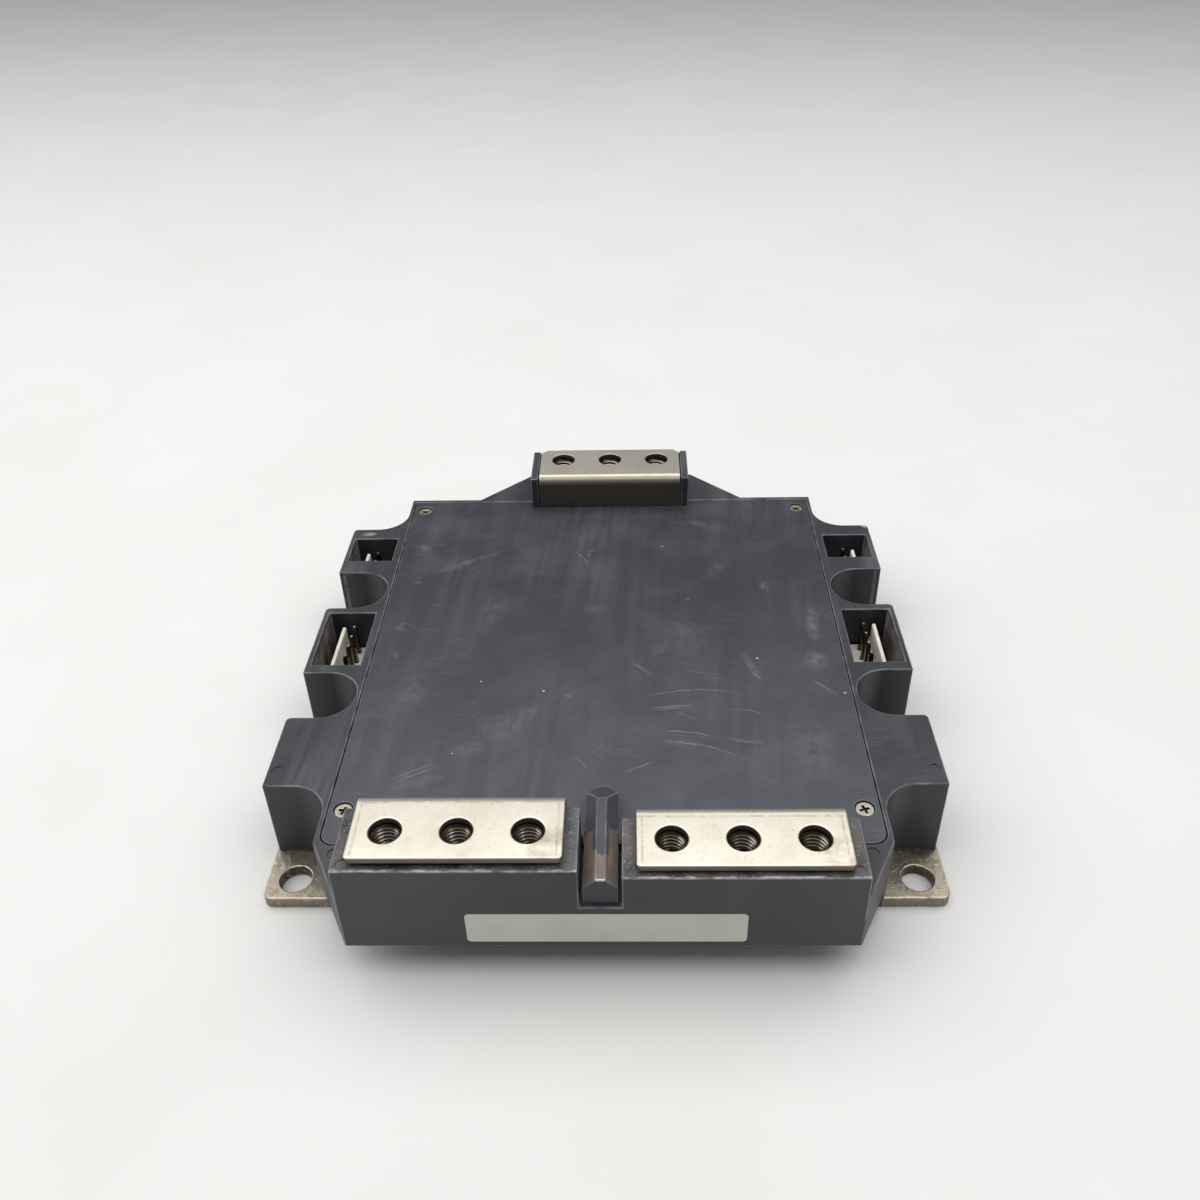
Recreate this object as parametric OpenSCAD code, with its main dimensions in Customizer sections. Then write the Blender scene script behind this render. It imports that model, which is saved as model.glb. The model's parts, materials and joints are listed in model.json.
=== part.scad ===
// Dual power module: a nickel-plated base plate carries a moulded frame with
// scalloped sides, a flat screwed-down lid, three bent busbar terminals over
// captive nuts, four signal sockets and six chip-carrying ceramic substrates.
// Millimetres, +Z up. The origin is the centre of the base plate's underside,
// -Y is the side with two terminals and +Y the side with one.

/* [Base plate] */
// Thickness of the base plate
base_t = 3; // [2:0.5:5]
// Corner radius of the base plate
base_r = 2; // [0.5:0.5:4]
// Diameter of a mounting hole
hole_d = 7; // [5:0.5:8]
// Distance of the mounting holes from the plate's side edges
hole_side = 6.25; // [5.5:0.25:8]
// Distance of the corner mounting holes from the plate's front and rear edges
hole_front = 5.5; // [5:0.25:7]
// Pitch of the two middle mounting holes of a side
hole_mid = 42.5; // [41:0.5:44]
// Pitch from a middle hole to the corner hole of a side
hole_end = 38; // [36:0.5:39]

/* [Case] */
// Width of the case between the scallops
core_w = 119.4; // [117:0.2:124]
// Setback of the side blocks from the base plate's side edges
case_inset = 0.5; // [0.2:0.1:1]
// Reach of the case's end shoulders past the corner mounting holes
shoulder = 7.95; // [7.2:0.05:9]
// Height of the case top above the underside of the base plate
case_z = 23.8; // [22:0.1:27]
// Radius of a scallop around a mounting hole
scallop_r = 8; // [7:0.1:8.5]
// Distance of a mounting hole outside its scallop's centre
hole_out = 1.05; // [0:0.05:2]
// Radius of the rear outer corner of a side block
block_r = 1.2; // [0.4:0.1:2]
// Thickness of the bonding seal under the case
seal_t = 0.3; // [0.1:0.1:0.6]
// Width of the bonding seal around the cavity
seal_w = 2.4; // [1.5:0.1:2.6]
// Thickness of the case's side walls
wall_side = 6.2; // [5.2:0.1:6.6]
// Thickness of the case's end walls
wall_end = 5.2; // [4.8:0.1:6]
// Width of the contact ledge along each side of the cavity
ledge_w = 3; // [2:0.1:3]
// Diameter of a round ejector mark
mark_d = 2.8; // [2:0.2:4]
// Depth of a round ejector mark
mark_h = 0.2; // [0.1:0.1:0.4]
// Distance of the nose's ejector marks past the front shoulders
mark_nose = 3; // [2:0.1:5]
// Distance of the side blocks' ejector marks from their outer faces
mark_side = 2.2; // [1.8:0.1:4]
// Distance of the side blocks' ejector marks from their scallops
mark_back = 4.6; // [3:0.1:8]

/* [Terminal blocks] */
// Overhang of the front face past the front shoulders
nose_out = 15; // [14:0.1:17]
// Distance of the front hole line from the front face
hole_nose = 8.2; // [7.6:0.1:9]
// Distance of the rear hole line from the rear face
hole_tail = 7.2; // [6.6:0.1:8]
// Height of the overhanging blocks' undersides
block_z = 10; // [7:0.5:12]
// Width of the nut blocks past the terminals' outer edges
nose_side = 2.9; // [1.5:0.1:4]
// Width of the rear wings past the cheeks, at the rear face
wing_side = 1.55; // [0.5:0.05:4]
// Spread of a rear wing from the rear face to the shoulder
wing_flare = 14.4; // [8:0.2:20]
// Depth of the left nut block, front to rear
nose_d_left = 16.5; // [15.4:0.1:17]
// Depth of the right nut block, front to rear
nose_d_right = 15.4; // [15.4:0.1:17]
// Width of the slot between the front nut blocks
slot_w = 8.4; // [7.6:0.1:10]
// Depth of the slot floor below the case top
slot_drop = 1.9; // [1:0.1:2.3]
// Thickness of a cheek beside the rear terminal
cheek_t = 2.1; // [1.2:0.1:3]
// Drop of the cheeks below the rear terminal's top
cheek_drop = 0.2; // [0:0.1:1]
// Depth of the cheeks, front to rear
cheek_d = 16.4; // [14:0.1:17]

/* [Lid] */
// Distance of the lid's sides from the case's sides
lid_side = 1.3; // [1:0.1:2.4]
// Thickness of the lid
lid_t = 2.5; // [2:0.1:3]
// Distance of the lid's rear edge from the rear shoulder
lid_end = 1.6; // [1.2:0.1:2]
// Reach of the lid's front feet past the front shoulder
lid_foot = 0.4; // [0:0.1:1.2]
// Corner radius of the lid
lid_r = 3; // [1:0.5:4]
// Clearance around the lid and its cut-outs
lid_c = 0.25; // [0.1:0.05:0.4]
// Gap beside the barrier rib that stands in the slot
rib_gap = 0.7; // [0.4:0.1:1]
// Width of the flat on top of the barrier rib
rib_top_w = 2; // [1:0.1:3]
// Height of the barrier rib above the slot floor
rib_h = 7.2; // [6:0.1:8]
// Drop of the barrier rib's sloped sides
rib_drop = 2.5; // [1.5:0.1:3]
// Setback of the barrier rib from the front face
rib_setback = 0.9; // [0.4:0.1:2]
// Length of the barrier rib behind the nut blocks, up to its full-width end
rib_tail = 9.8; // [6:0.2:12]
// Length of the pointed end of the barrier rib
rib_point = 5.6; // [4:0.2:8]

/* [Lid screws] */
// Distance of the lid screws from the case's sides
screw_side = 4.5; // [4.2:0.1:5]
// Distance of the front screws from the lid's front feet
screw_foot = 9.6; // [9:0.1:10.4]
// Distance of the rear screws from the lid's rear edge
screw_end = 4.3; // [4:0.1:5]
// Radius of the posts that take the lid screws
post_r = 3.4; // [2.6:0.1:3.4]
// Diameter of a screw head
screw_head_d = 3.9; // [3.4:0.1:4.2]
// Height of a screw head
screw_head_h = 1.2; // [0.9:0.1:1.4]
// Diameter of a screw shank
screw_d = 2.6; // [2:0.1:3]
// Length of a screw shank
screw_l = 9; // [6:0.5:12]
// Radial clearance of a head in its recess
screw_c = 0.2; // [0.1:0.05:0.3]
// Depth of a head's recess in the lid
screw_sink = 1.6; // [1.4:0.1:1.8]

/* [Terminals] */
// Distance of the front terminals' outer edges from the case's sides
term_out = 10.7; // [10:0.1:12]
// Distance of the front terminals' inner edges from the slot
term_in = 2.8; // [2:0.1:3.4]
// Thickness of the terminal sheet
term_t = 1.6; // [1.2:0.1:2]
// Inside radius of a terminal bend
term_ri = 1; // [0.4:0.1:1.5]
// Pitch of the three holes of a terminal
term_pitch = 14; // [13.5:0.1:14.2]
// Diameter of a terminal hole
term_hole_d = 6.5; // [6.2:0.1:7]
// Height of the front left terminal's top face
term_z_left = 35; // [34:0.1:36]
// Height of the front right terminal's top face
term_z_right = 32.7; // [32.4:0.1:34]
// Height of the rear terminal's top face
term_z_rear = 33.5; // [32.4:0.1:35]
// Length of the rear terminal's top, bend included
term_l_rear = 17.1; // [16.6:0.1:17.4]
// Distance of a terminal's free edge from its block's face
term_lip = 1.2; // [0.8:0.1:2]
// Corner radius of a front terminal's free edge
term_r = 1; // [0.4:0.1:1.6]
// Corner chamfer of the rear terminal's free edge
term_ch = 1.8; // [1:0.1:3]
// Gap between a terminal leg and the block it passes
leg_c = 0.15; // [0.1:0.05:0.3]
// Room behind a front terminal's leg
leg_room = 8.25; // [6:0.25:9]

/* [Nuts] */
// Width across the flats of a nut
nut_af = 10; // [9:0.5:10]
// Thickness of a nut
nut_h = 5; // [4:0.1:6]
// Diameter of a nut's thread, at the crests
nut_bore_d = 5; // [4.9:0.05:5.3]
// Clearance of a nut in its pocket
nut_c = 0.1; // [0.05:0.05:0.3]
// Depth of the room for a bolt end under a nut
bolt_room = 7; // [4:0.5:8]
// Diameter of the room for a bolt end under a nut
bolt_room_d = 7.4; // [7:0.1:8]
// Depth by which a nut sits in its pocket under a front left terminal
nut_sink_left = 4.1; // [3.5:0.1:4.6]
// Depth by which a nut sits in its pocket under a front right terminal
nut_sink_right = 4.4; // [3.5:0.1:4.6]
// Depth by which a nut sits in its pocket under the rear terminal
nut_sink_rear = 4.6; // [3.5:0.1:4.8]

/* [Signal sockets] */
// Room at each end of the header in a middle socket
room_mid = 0.63; // [0.2:0.01:1]
// Room at each end of the header in a rear socket
room_rear = 1.57; // [0.2:0.01:2]
// Offset of the sockets towards the rear from their blocks' middles
socket_shift = 0.4; // [0:0.1:0.8]
// Room between a socket's inner wall and its header
room_in = 0.5; // [0.2:0.1:1]
// Room for the locking arm outside a header
room_arm = 3.3; // [2.4:0.1:3.6]
// Thickness of a socket's outer wall
pocket_wall = 1.4; // [1:0.1:1.8]
// Height of the socket floors
pocket_z = 9.5; // [8.6:0.1:11]
// Number of pins in a middle socket
pins_mid = 5; // [2:1:5]
// Number of pins in a rear socket
pins_rear = 2; // [2:1:2]
// Pitch of the signal pins
pin_pitch = 3.96; // [3.8:0.02:4]
// Width of a square signal pin
pin_w = 1.14; // [0.8:0.02:1.3]
// Depth of the pin tips below the case top
pin_sink = 2.5; // [1:0.1:5]
// Length of a pin's tapered tip
tip_l = 0.7; // [0.4:0.1:1.2]
// Height of the pins' inner tails
tail_z = 6; // [5.6:0.1:6.6]
// Length of a pin tail on the contact ledge
tail_l = 2; // [1:0.1:2.2]
// Clearance of the pins in the case
pin_c = 0.05; // [0.02:0.01:0.1]
// Width of a header, side to side
header_w = 8.4; // [8:0.1:8.8]
// Length of a header past its outermost pins
header_end = 1.95; // [1.6:0.05:2.2]
// Height of a header's base
header_h = 3.3; // [2.5:0.1:4.5]
// Distance from the pins to the outside of the locking wall
lock_x = 3.4; // [3:0.1:3.8]
// Thickness of the locking wall
lock_t = 1; // [0.8:0.1:1.4]
// Setback of the locking wall from the header's ends
lock_inset = 1; // [0.4:0.1:1.4]
// Depth of the locking wall's top below the case top
lock_sink = 3.3; // [2:0.1:6]
// Height of the webs at the ends of the locking wall
web_h = 4; // [2:0.1:6]
// Reach of the webs from the locking wall
web_l = 1.2; // [0.6:0.1:2]
// Width of a keying notch
key_w = 1.4; // [1:0.1:2]
// Depth of a keying notch, from the header's side and from its top
key_d = 1.6; // [1:0.1:2]

/* [Label] */
// Width of the bare label on the front face
label_w = 55.8; // [40:0.2:70]
// Height of the bare label
label_h = 8.4; // [6:0.2:10]
// Thickness of the label
label_t = 0.12; // [0.1:0.02:0.3]
// Corner radius of the label
label_r = 0.9; // [0.4:0.1:2]
// Sideways offset of the label from the middle
label_x = 1; // [-3:0.5:3]
// Distance of the label's top edge below the slot floor
label_drop = 1.8; // [1:0.1:3]

/* [Power stage] */
// Number of substrates along each half
sub_n = 3; // [1:1:3]
// Room between the substrates and the side walls
sub_side = 0.9; // [0.6:0.1:2]
// Distance of the substrates from the middle line
sub_mid = 2.6; // [1.5:0.1:4]
// Room between the substrates and the end walls
sub_end = 8; // [7:0.2:10]
// Gap between two substrates
sub_gap = 3; // [2:0.1:4]
// Thickness of the ceramic
ceramic_t = 0.64; // [0.3:0.02:1]
// Thickness of the copper on each face of the ceramic
copper_t = 0.3; // [0.2:0.05:0.5]
// Thickness of the solder under a substrate
solder_t = 0.2; // [0.1:0.05:0.4]
// Bare border of the ceramic around the copper
copper_edge = 1; // [0.5:0.1:1.5]
// Gap between two copper areas
copper_gap = 1; // [0.6:0.1:1.2]
// Width of the gate track
gate_w = 2; // [1.5:0.1:3]
// Width of the collector area
coll_w = 29; // [28:0.5:31]
// Side of a transistor chip
igbt_s = 12.6; // [11:0.1:13]
// Size of a diode chip, side to side
diode_w = 9; // [7:0.1:9.4]
// Thickness of the chips
chip_t = 0.3; // [0.12:0.02:0.4]
// Pitch of the two chip rows on a substrate
chip_pitch = 16.6; // [16.2:0.1:17.6]
// Distance from the gate track to the transistor chips
chip_edge = 2.7; // [2:0.1:3]
// Distance between a transistor chip and its diode chip
chip_gap = 3.2; // [2.6:0.1:3.6]
// Diameter of an emitter bond wire
wire_d = 0.5; // [0.3:0.05:0.6]
// Height of an emitter bond wire's bow
wire_h = 4.2; // [3:0.1:5]
// Distance of a bond wire's end from the edge of a chip
wire_edge = 1.2; // [0.8:0.1:2]
// Distance of the bond wires' landings from the emitter area's edge
wire_land = 3; // [2:0.1:5]
// Number of emitter bond wires on a chip
wire_n = 3; // [2:1:4]
// Pitch of the emitter bond wires
wire_pitch = 3; // [2:0.1:3.4]
// Diameter of a gate bond wire
gate_wire_d = 0.3; // [0.2:0.05:0.4]
// Height of the bow from a chip to the gate track
gate_wire_h = 1.6; // [1.2:0.1:2.4]
// Height of the bow from the gate track to a pin
pin_wire_h = 2.6; // [2:0.1:3.2]
// Distance of a gate wire's end from the edge of a chip
gate_edge = 1.4; // [1:0.1:2]
// Height of the busbars' undersides inside the case
bar_z = 14; // [13:0.1:15]
// Distance of the busbars' cross strips from the end walls
bar_inset = 5; // [4:0.5:6]
// Width of a busbar strip over the substrates
bar_w = 10; // [8:0.5:10]
// Width of a busbar foot, front to rear
foot_w = 3; // [2:0.1:3]
// Thickness of a busbar foot on the copper
foot_t = 1; // [0.6:0.1:1.6]
// Length of a busbar foot on the copper
foot_l = 5; // [3:0.1:6]
// Height of the gel's surface
gel_z = 12; // [10:0.1:12.6]

/* [Hidden] */
$fn = 48;

// plan of the plate and the case, from the mounting holes outwards and inwards
hole_ys = [-hole_mid/2 - hole_end, -hole_mid/2, hole_mid/2, hole_mid/2 + hole_end];
scallop_x = core_w/2 + scallop_r;
hole_x = scallop_x + hole_out;
base_w = 2*(hole_x + hole_side);
base_l = 2*(hole_ys[3] + hole_front);
case_w = base_w - 2*case_inset;
case_l = 2*(hole_ys[3] + shoulder);
cavity_x = core_w/2 - wall_side;
cavity_y = case_l/2 - wall_end;
cavity_top_x = cavity_x + ledge_w;
front_y = case_l/2 + nose_out;
term_hole_y = front_y - hole_nose;
rear_y = term_hole_y + hole_tail;
lid_z = case_z - lid_t;
lid_w = core_w - 2*lid_side;
lid_rear = case_l/2 - lid_end;
lid_front = case_l/2 + lid_foot;
screw_x = core_w/2 - screw_side;
screw_front = lid_front - screw_foot;
screw_rear = lid_rear - screw_end;
slot_z = case_z - slot_drop;
rib_w = slot_w - 2*rib_gap;
rib_z = slot_z + rib_h;
term_w = core_w/2 - term_out - slot_w/2 - term_in;
term_x = slot_w/2 + term_in + term_w/2;
nose_w = 2*(term_x + term_w/2 + nose_side);
// terminals: the free edge and the far side of the leg, and the block's top
edge_y_front = -front_y + term_lip;
leg_y_left = -front_y + nose_d_left + leg_c + term_t;
leg_y_right = -front_y + nose_d_right + leg_c + term_t;
edge_y_rear = rear_y - term_lip;
leg_y_rear = edge_y_rear - term_l_rear;
nut_z_left = term_z_left - term_t - nut_h;
nut_z_right = term_z_right - term_t - nut_h;
nut_z_rear = term_z_rear - term_t - nut_h;
top_left = nut_z_left + nut_sink_left;
top_right = nut_z_right + nut_sink_right;
top_rear = nut_z_rear + nut_sink_rear;
cheek_x = term_w/2 + leg_c;
wing_w = 2*(cheek_x + cheek_t + wing_side);
wing_root_w = wing_w + 2*wing_flare;
label_z = slot_z - label_drop - label_h/2;
well_z = bar_z - 0.5;
bar_end = cavity_y - bar_inset;
// signal sockets: the middle and the rear side blocks
socket_ys = [(hole_ys[1] + hole_ys[2])/2 + socket_shift, (hole_ys[2] + hole_ys[3])/2 + socket_shift];
pin_ns = [pins_mid, pins_rear];
header_ls = [for (n = pin_ns) (n - 1)*pin_pitch + 2*header_end];
pocket_ls = [header_ls[0] + 2*room_mid, header_ls[1] + 2*room_rear];
pocket_w = room_arm + header_w + room_in;
pocket_x = case_w/2 - pocket_wall - pocket_w/2;
pin_x = case_w/2 - pocket_wall - room_arm - lock_x;
pin_z = case_z - pin_sink;
lock_z = case_z - lock_sink;
// power stage: heights of its layers and places across one half
cu_z = base_t + solder_t;
cer_z = cu_z + copper_t;
top_z = cer_z + ceramic_t;
die_z = top_z + copper_t;
chip_z = die_z + chip_t;
tail_top = tail_z + pin_w;
sub_w = cavity_x - sub_side - sub_mid;
sub_x = sub_mid + sub_w/2;
sub_l = (2*(cavity_y - sub_end) - (sub_n - 1)*sub_gap)/sub_n;
sub_ys = [for (i = [0:sub_n - 1]) (i - (sub_n - 1)/2)*(sub_l + sub_gap)];
track_hi = sub_x + sub_w/2 - copper_edge;
track_lo = track_hi - gate_w;
coll_hi = track_lo - copper_gap;
emit_lo = sub_x - sub_w/2 + copper_edge;
coll_lo = coll_hi - coll_w;
emit_hi = coll_lo - copper_gap;
copper_l = sub_l - 2*copper_edge;
igbt_x = track_lo - chip_edge - igbt_s/2;
diode_x = igbt_x - igbt_s/2 - chip_gap - diode_w/2;
land_x = emit_hi - wire_land;
row_ys = [-chip_pitch/2, chip_pitch/2];
bar_x_coll = diode_x + diode_w/2;
bar_x_emit = emit_lo + bar_w/2 + 1;

module both() { children(); mirror([1, 0, 0]) children(); }

// The part of one half that a side asks for: -1 is the left half, 1 the right
module half(side) { if (side < 0) mirror([1, 0, 0]) children(); else children(); }

module round_rect(w, l, r) {
    square([w - 2*r, l], center = true);
    square([w, l - 2*r], center = true);
    for (x = [-1, 1], y = [-1, 1]) translate([x*(w/2 - r), y*(l/2 - r)]) circle(r);
}

// What a round takes off a corner that stands at the origin and faces -X, -Y
module corner_cut(r) {
    difference() {
        translate([-1, -1]) square(r + 1);
        translate([r, r]) circle(r);
    }
}

// ---- base plate ----

module base_plate() {
    color("#b9b1a0") difference() {
        linear_extrude(base_t) round_rect(base_w, base_l, base_r);
        both() for (y = hole_ys) translate([hole_x, y, -1]) cylinder(d = hole_d, h = base_t + 2);
    }
}

module case_seal() {
    color("#8b8578") translate([0, 0, base_t]) linear_extrude(seal_t) difference() {
        square([2*(cavity_x + seal_w), 2*(cavity_y + seal_w)], center = true);
        square([2*cavity_x, 2*cavity_y], center = true);
    }
}

// ---- moulded case ----

// Outline of the case: a core between the scallops with three blocks a side
module case_plan() {
    difference() {
        union() {
            square([core_w, case_l], center = true);
            square([case_w, 2*hole_ys[3]], center = true);
        }
        both() for (y = hole_ys) {
            translate([scallop_x, y]) circle(scallop_r);
            translate([scallop_x, y - scallop_r]) square([case_w/2, 2*scallop_r]);
        }
        both() for (i = [1:3])
            translate([case_w/2, hole_ys[i] - scallop_r]) rotate(180) corner_cut(block_r);
    }
}

// Overhanging ends: a nose with chamfered corners and a pair of rear wings
module nose_plan() {
    polygon([[-core_w/2, -case_l/2 + 2], [-core_w/2, -case_l/2], [-nose_w/2, -front_y],
        [nose_w/2, -front_y], [core_w/2, -case_l/2], [core_w/2, -case_l/2 + 2]]);
}

module wing_plan() {
    polygon([[-wing_root_w/2, case_l/2 - 2], [-wing_root_w/2, case_l/2], [-wing_w/2, rear_y],
        [wing_w/2, rear_y], [wing_root_w/2, case_l/2], [wing_root_w/2, case_l/2 - 2]]);
}

// Raised nut blocks: a front pair of two heights, a rear one between cheeks
module nut_blocks() {
    nb_w = nose_w/2 - slot_w/2;
    translate([-nose_w/2, -front_y, block_z]) cube([nb_w, nose_d_left, top_left - block_z]);
    translate([slot_w/2, -front_y, block_z]) cube([nb_w, nose_d_right, top_right - block_z]);
    translate([-cheek_x - cheek_t, leg_y_rear + term_t + leg_c, block_z])
        cube([2*(cheek_x + cheek_t), rear_y - leg_y_rear - term_t - leg_c, top_rear - block_z]);
    both() translate([cheek_x, leg_y_rear, lid_z])
        cube([cheek_t, cheek_d, term_z_rear - cheek_drop - lid_z]);
}

// Room under the lid for the power stage, with a ledge for the signal contacts
module cavity() {
    translate([-cavity_x, -cavity_y, base_t - 1]) cube([2*cavity_x, 2*cavity_y, case_z]);
    translate([-cavity_top_x, -cavity_y, tail_z]) cube([2*cavity_top_x, 2*cavity_y, case_z]);
}

// Solid corners of the cavity that take the lid screws
module screw_posts() {
    for (y = [-screw_front, screw_rear]) both() {
        translate([screw_x, y, base_t + seal_t]) cylinder(r = post_r, h = lid_z - base_t - seal_t);
        translate([screw_x, y - (y < 0 ? post_r : 0), base_t + seal_t])
            cube([core_w/2 - screw_x - 1, post_r, lid_z - base_t - seal_t]);
        translate([screw_x - post_r, y < 0 ? -cavity_y - 1 : y, base_t + seal_t])
            cube([post_r + core_w/2 - screw_x - 1, y < 0 ? cavity_y + 1 - screw_front : cavity_y + 1 - y, lid_z - base_t - seal_t]);
    }
}

// Wells that the terminal legs go down in
module leg_wells() {
    translate([-term_x - term_w/2 - leg_c, -front_y + nose_d_left, well_z])
        cube([term_w + 2*leg_c, leg_c + term_t + leg_room, case_z]);
    translate([term_x - term_w/2 - leg_c, -front_y + nose_d_right, well_z])
        cube([term_w + 2*leg_c, leg_c + term_t + leg_room, case_z]);
    translate([-cheek_x, cavity_y - 1, well_z])
        cube([2*cheek_x, leg_y_rear + term_t + leg_c - cavity_y + 1, term_z_rear]);
}

// Rounds the edge of a nut block that a terminal bends over. The leg's near
// face is at y, the block lies on the dir side of it
module bend_edge(x, y, z, dir) {
    translate([x - cheek_x, y, z - term_t - term_ri]) mirror([0, dir < 0 ? 1 : 0, 0])
        rotate([90, 0, 90]) linear_extrude(2*cheek_x) difference() {
            square([term_ri, term_ri + term_t]);
            translate([term_ri, 0]) circle(term_ri - leg_c);
        }
}

// Hexagonal nut pockets with a round room for the bolt ends under them
module nut_pockets(x, y, z) {
    for (i = [-1:1]) translate([x + i*term_pitch, y, z]) {
        rotate(30) cylinder(d = (nut_af + 2*nut_c)/cos(30), h = 2*nut_h, $fn = 6);
        translate([0, 0, -bolt_room]) cylinder(d = bolt_room_d, h = bolt_room + 1);
    }
}

// Channels for the bent signal pins, open to the socket and to the cavity
module pin_channels() {
    for (side = [-1, 1], k = [0, 1]) half(side) for (y = pin_ys(k)) {
        translate([pin_x - pin_w/2 - pin_c, y - pin_w/2 - pin_c, tail_z - pin_c])
            cube([pin_w + 2*pin_c, pin_w + 2*pin_c, pocket_z]);
        translate([cavity_top_x - 1, y - pin_w/2 - pin_c, tail_z - pin_c])
            cube([pin_x + pin_w/2 + pin_c - cavity_top_x + 1, pin_w + 2*pin_c, pin_w + 2*pin_c]);
    }
}

// Round ejector marks, sunk a little into the top faces
module marks() {
    module mark(x, y, z) translate([x, y, z - mark_h]) cylinder(d = mark_d, h = 1);
    in_x = term_x - term_w/2 - 0.6;
    both() mark(nose_w/2 + mark_d, -case_l/2 - mark_nose, case_z);
    both() mark(case_w/2 - mark_side, hole_ys[0] + scallop_r + mark_back, case_z);
    mark(-in_x, edge_y_front, top_left);
    mark(-2*term_x + in_x, edge_y_front + 0.6, top_left);
    mark(in_x, edge_y_front, top_right);
    mark(2*term_x - in_x, edge_y_front + 0.6, top_right);
}

module case_frame() {
    color("#42454d") {
        difference() {
            union() {
                translate([0, 0, base_t]) linear_extrude(case_z - base_t) case_plan();
                translate([0, 0, block_z]) linear_extrude(case_z - block_z) { nose_plan(); wing_plan(); }
                nut_blocks();
            }
            difference() { cavity(); screw_posts(); }
            translate([0, 0, lid_z]) linear_extrude(case_z) lid_plan(lid_c);
            translate([0, 0, base_t - 1]) linear_extrude(seal_t + 1)
                square([2*(cavity_x + seal_w), 2*(cavity_y + seal_w)], center = true);
            translate([-slot_w/2, -front_y - 1, slot_z]) cube([slot_w, front_y - cavity_y, case_z]);
            leg_wells();
            bend_edge(-term_x, leg_y_left - term_t, term_z_left, -1);
            bend_edge(term_x, leg_y_right - term_t, term_z_right, -1);
            bend_edge(0, leg_y_rear + term_t, term_z_rear, 1);
            both() for (k = [0, 1]) translate([pocket_x - pocket_w/2, socket_ys[k] - pocket_ls[k]/2, pocket_z])
                cube([pocket_w, pocket_ls[k], case_z]);
            pin_channels();
            nut_pockets(-term_x, -term_hole_y, nut_z_left);
            nut_pockets(term_x, -term_hole_y, nut_z_right);
            nut_pockets(0, term_hole_y, nut_z_rear);
            marks();
            for (y = [-screw_front, screw_rear]) both() translate([screw_x, y, lid_z + lid_t - screw_sink - screw_l - 0.5])
                cylinder(d = screw_d + 0.1, h = case_z);
        }
    }
}

// ---- lid ----

// Outline of the lid, grown by g; the cut-outs for the blocks shrink with it
module lid_plan(g) {
    k = lid_c - g;
    difference() {
        translate([-lid_w/2 - g, -lid_front - g]) square([lid_w + 2*g, lid_front + lid_rear + 2*g]);
        both() translate([-lid_w/2 - g, -lid_front - g]) corner_cut(lid_r + g);
        translate([-nose_w/2 - k, -front_y - 1]) square([nose_w/2 - slot_w/2 + 2*k, nose_d_left + 1 + k]);
        translate([slot_w/2 - k, -front_y - 1]) square([nose_w/2 - slot_w/2 + 2*k, nose_d_right + 1 + k]);
        translate([-cheek_x - cheek_t - k, leg_y_rear - k]) square([2*(cheek_x + cheek_t + k), rear_y]);
    }
}

// Barrier rib between the front terminals: a flat-topped roof with a hipped,
// pointed end that runs out on the lid
module barrier_rib() {
    y0 = -front_y + rib_setback;
    y1 = -front_y + nose_d_right + rib_tail;
    y2 = y1 + rib_point;
    h = rib_z - slot_z;
    intersection() {
        translate([0, y2, slot_z]) rotate([90, 0, 0]) linear_extrude(y2 - y0)
            polygon([[-rib_w/2, 0], [rib_w/2, 0], [rib_w/2, h - rib_drop], [rib_top_w/2, h],
                [-rib_top_w/2, h], [-rib_w/2, h - rib_drop]]);
        linear_extrude(rib_z + 1)
            polygon([[-rib_w/2, y0], [rib_w/2, y0], [rib_w/2, y1], [rib_top_w/2, y2], [-rib_top_w/2, y2], [-rib_w/2, y1]]);
        rotate([90, 0, 90]) translate([0, 0, -rib_w]) linear_extrude(2*rib_w)
            polygon([[y0, slot_z], [y2, slot_z], [y2, case_z - 0.2], [y1 - 2.8, rib_z], [y0, rib_z]]);
    }
}

module lid() {
    color("#454852") difference() {
        union() {
            translate([0, 0, lid_z]) linear_extrude(lid_t) lid_plan(0);
            barrier_rib();
        }
        translate([-term_x - term_w/2 - lid_c, -front_y, 0])
            cube([term_w + 2*lid_c, front_y + leg_y_left + lid_c, case_z + 1]);
        translate([term_x - term_w/2 - lid_c, -front_y, 0])
            cube([term_w + 2*lid_c, front_y + leg_y_right + lid_c, case_z + 1]);
        for (y = [-screw_front, screw_rear]) both() translate([screw_x, y, 0]) {
            translate([0, 0, case_z - screw_sink]) cylinder(d = screw_head_d + 2*screw_c, h = screw_sink + 1);
            translate([0, 0, lid_z - 1]) cylinder(d = screw_d + 0.3, h = lid_t);
        }
    }
}

// A cheese-head screw with a cross recess, seated in its sunk place
module lid_screw() {
    difference() {
        union() {
            cylinder(d = screw_head_d, h = screw_head_h);
            translate([0, 0, -screw_l]) cylinder(d = screw_d, h = screw_l + 0.1);
        }
        for (a = [0, 90]) rotate(a)
            translate([-screw_head_d*0.29, -0.3, screw_head_h - 0.8]) cube([screw_head_d*0.58, 0.6, 1]);
    }
}

module lid_screws() {
    color("#c9c4a8") for (y = [-screw_front, screw_rear]) both()
        translate([screw_x, y, case_z - screw_sink]) rotate(y < 0 ? 18 : 40) lid_screw();
}

// ---- terminals and nuts ----

// A quarter of the sheet's bend, in the first quadrant about its inner centre
module bend() {
    intersection() {
        difference() { circle(term_ri + term_t); circle(term_ri); }
        square(2*(term_ri + term_t));
    }
}

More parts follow.
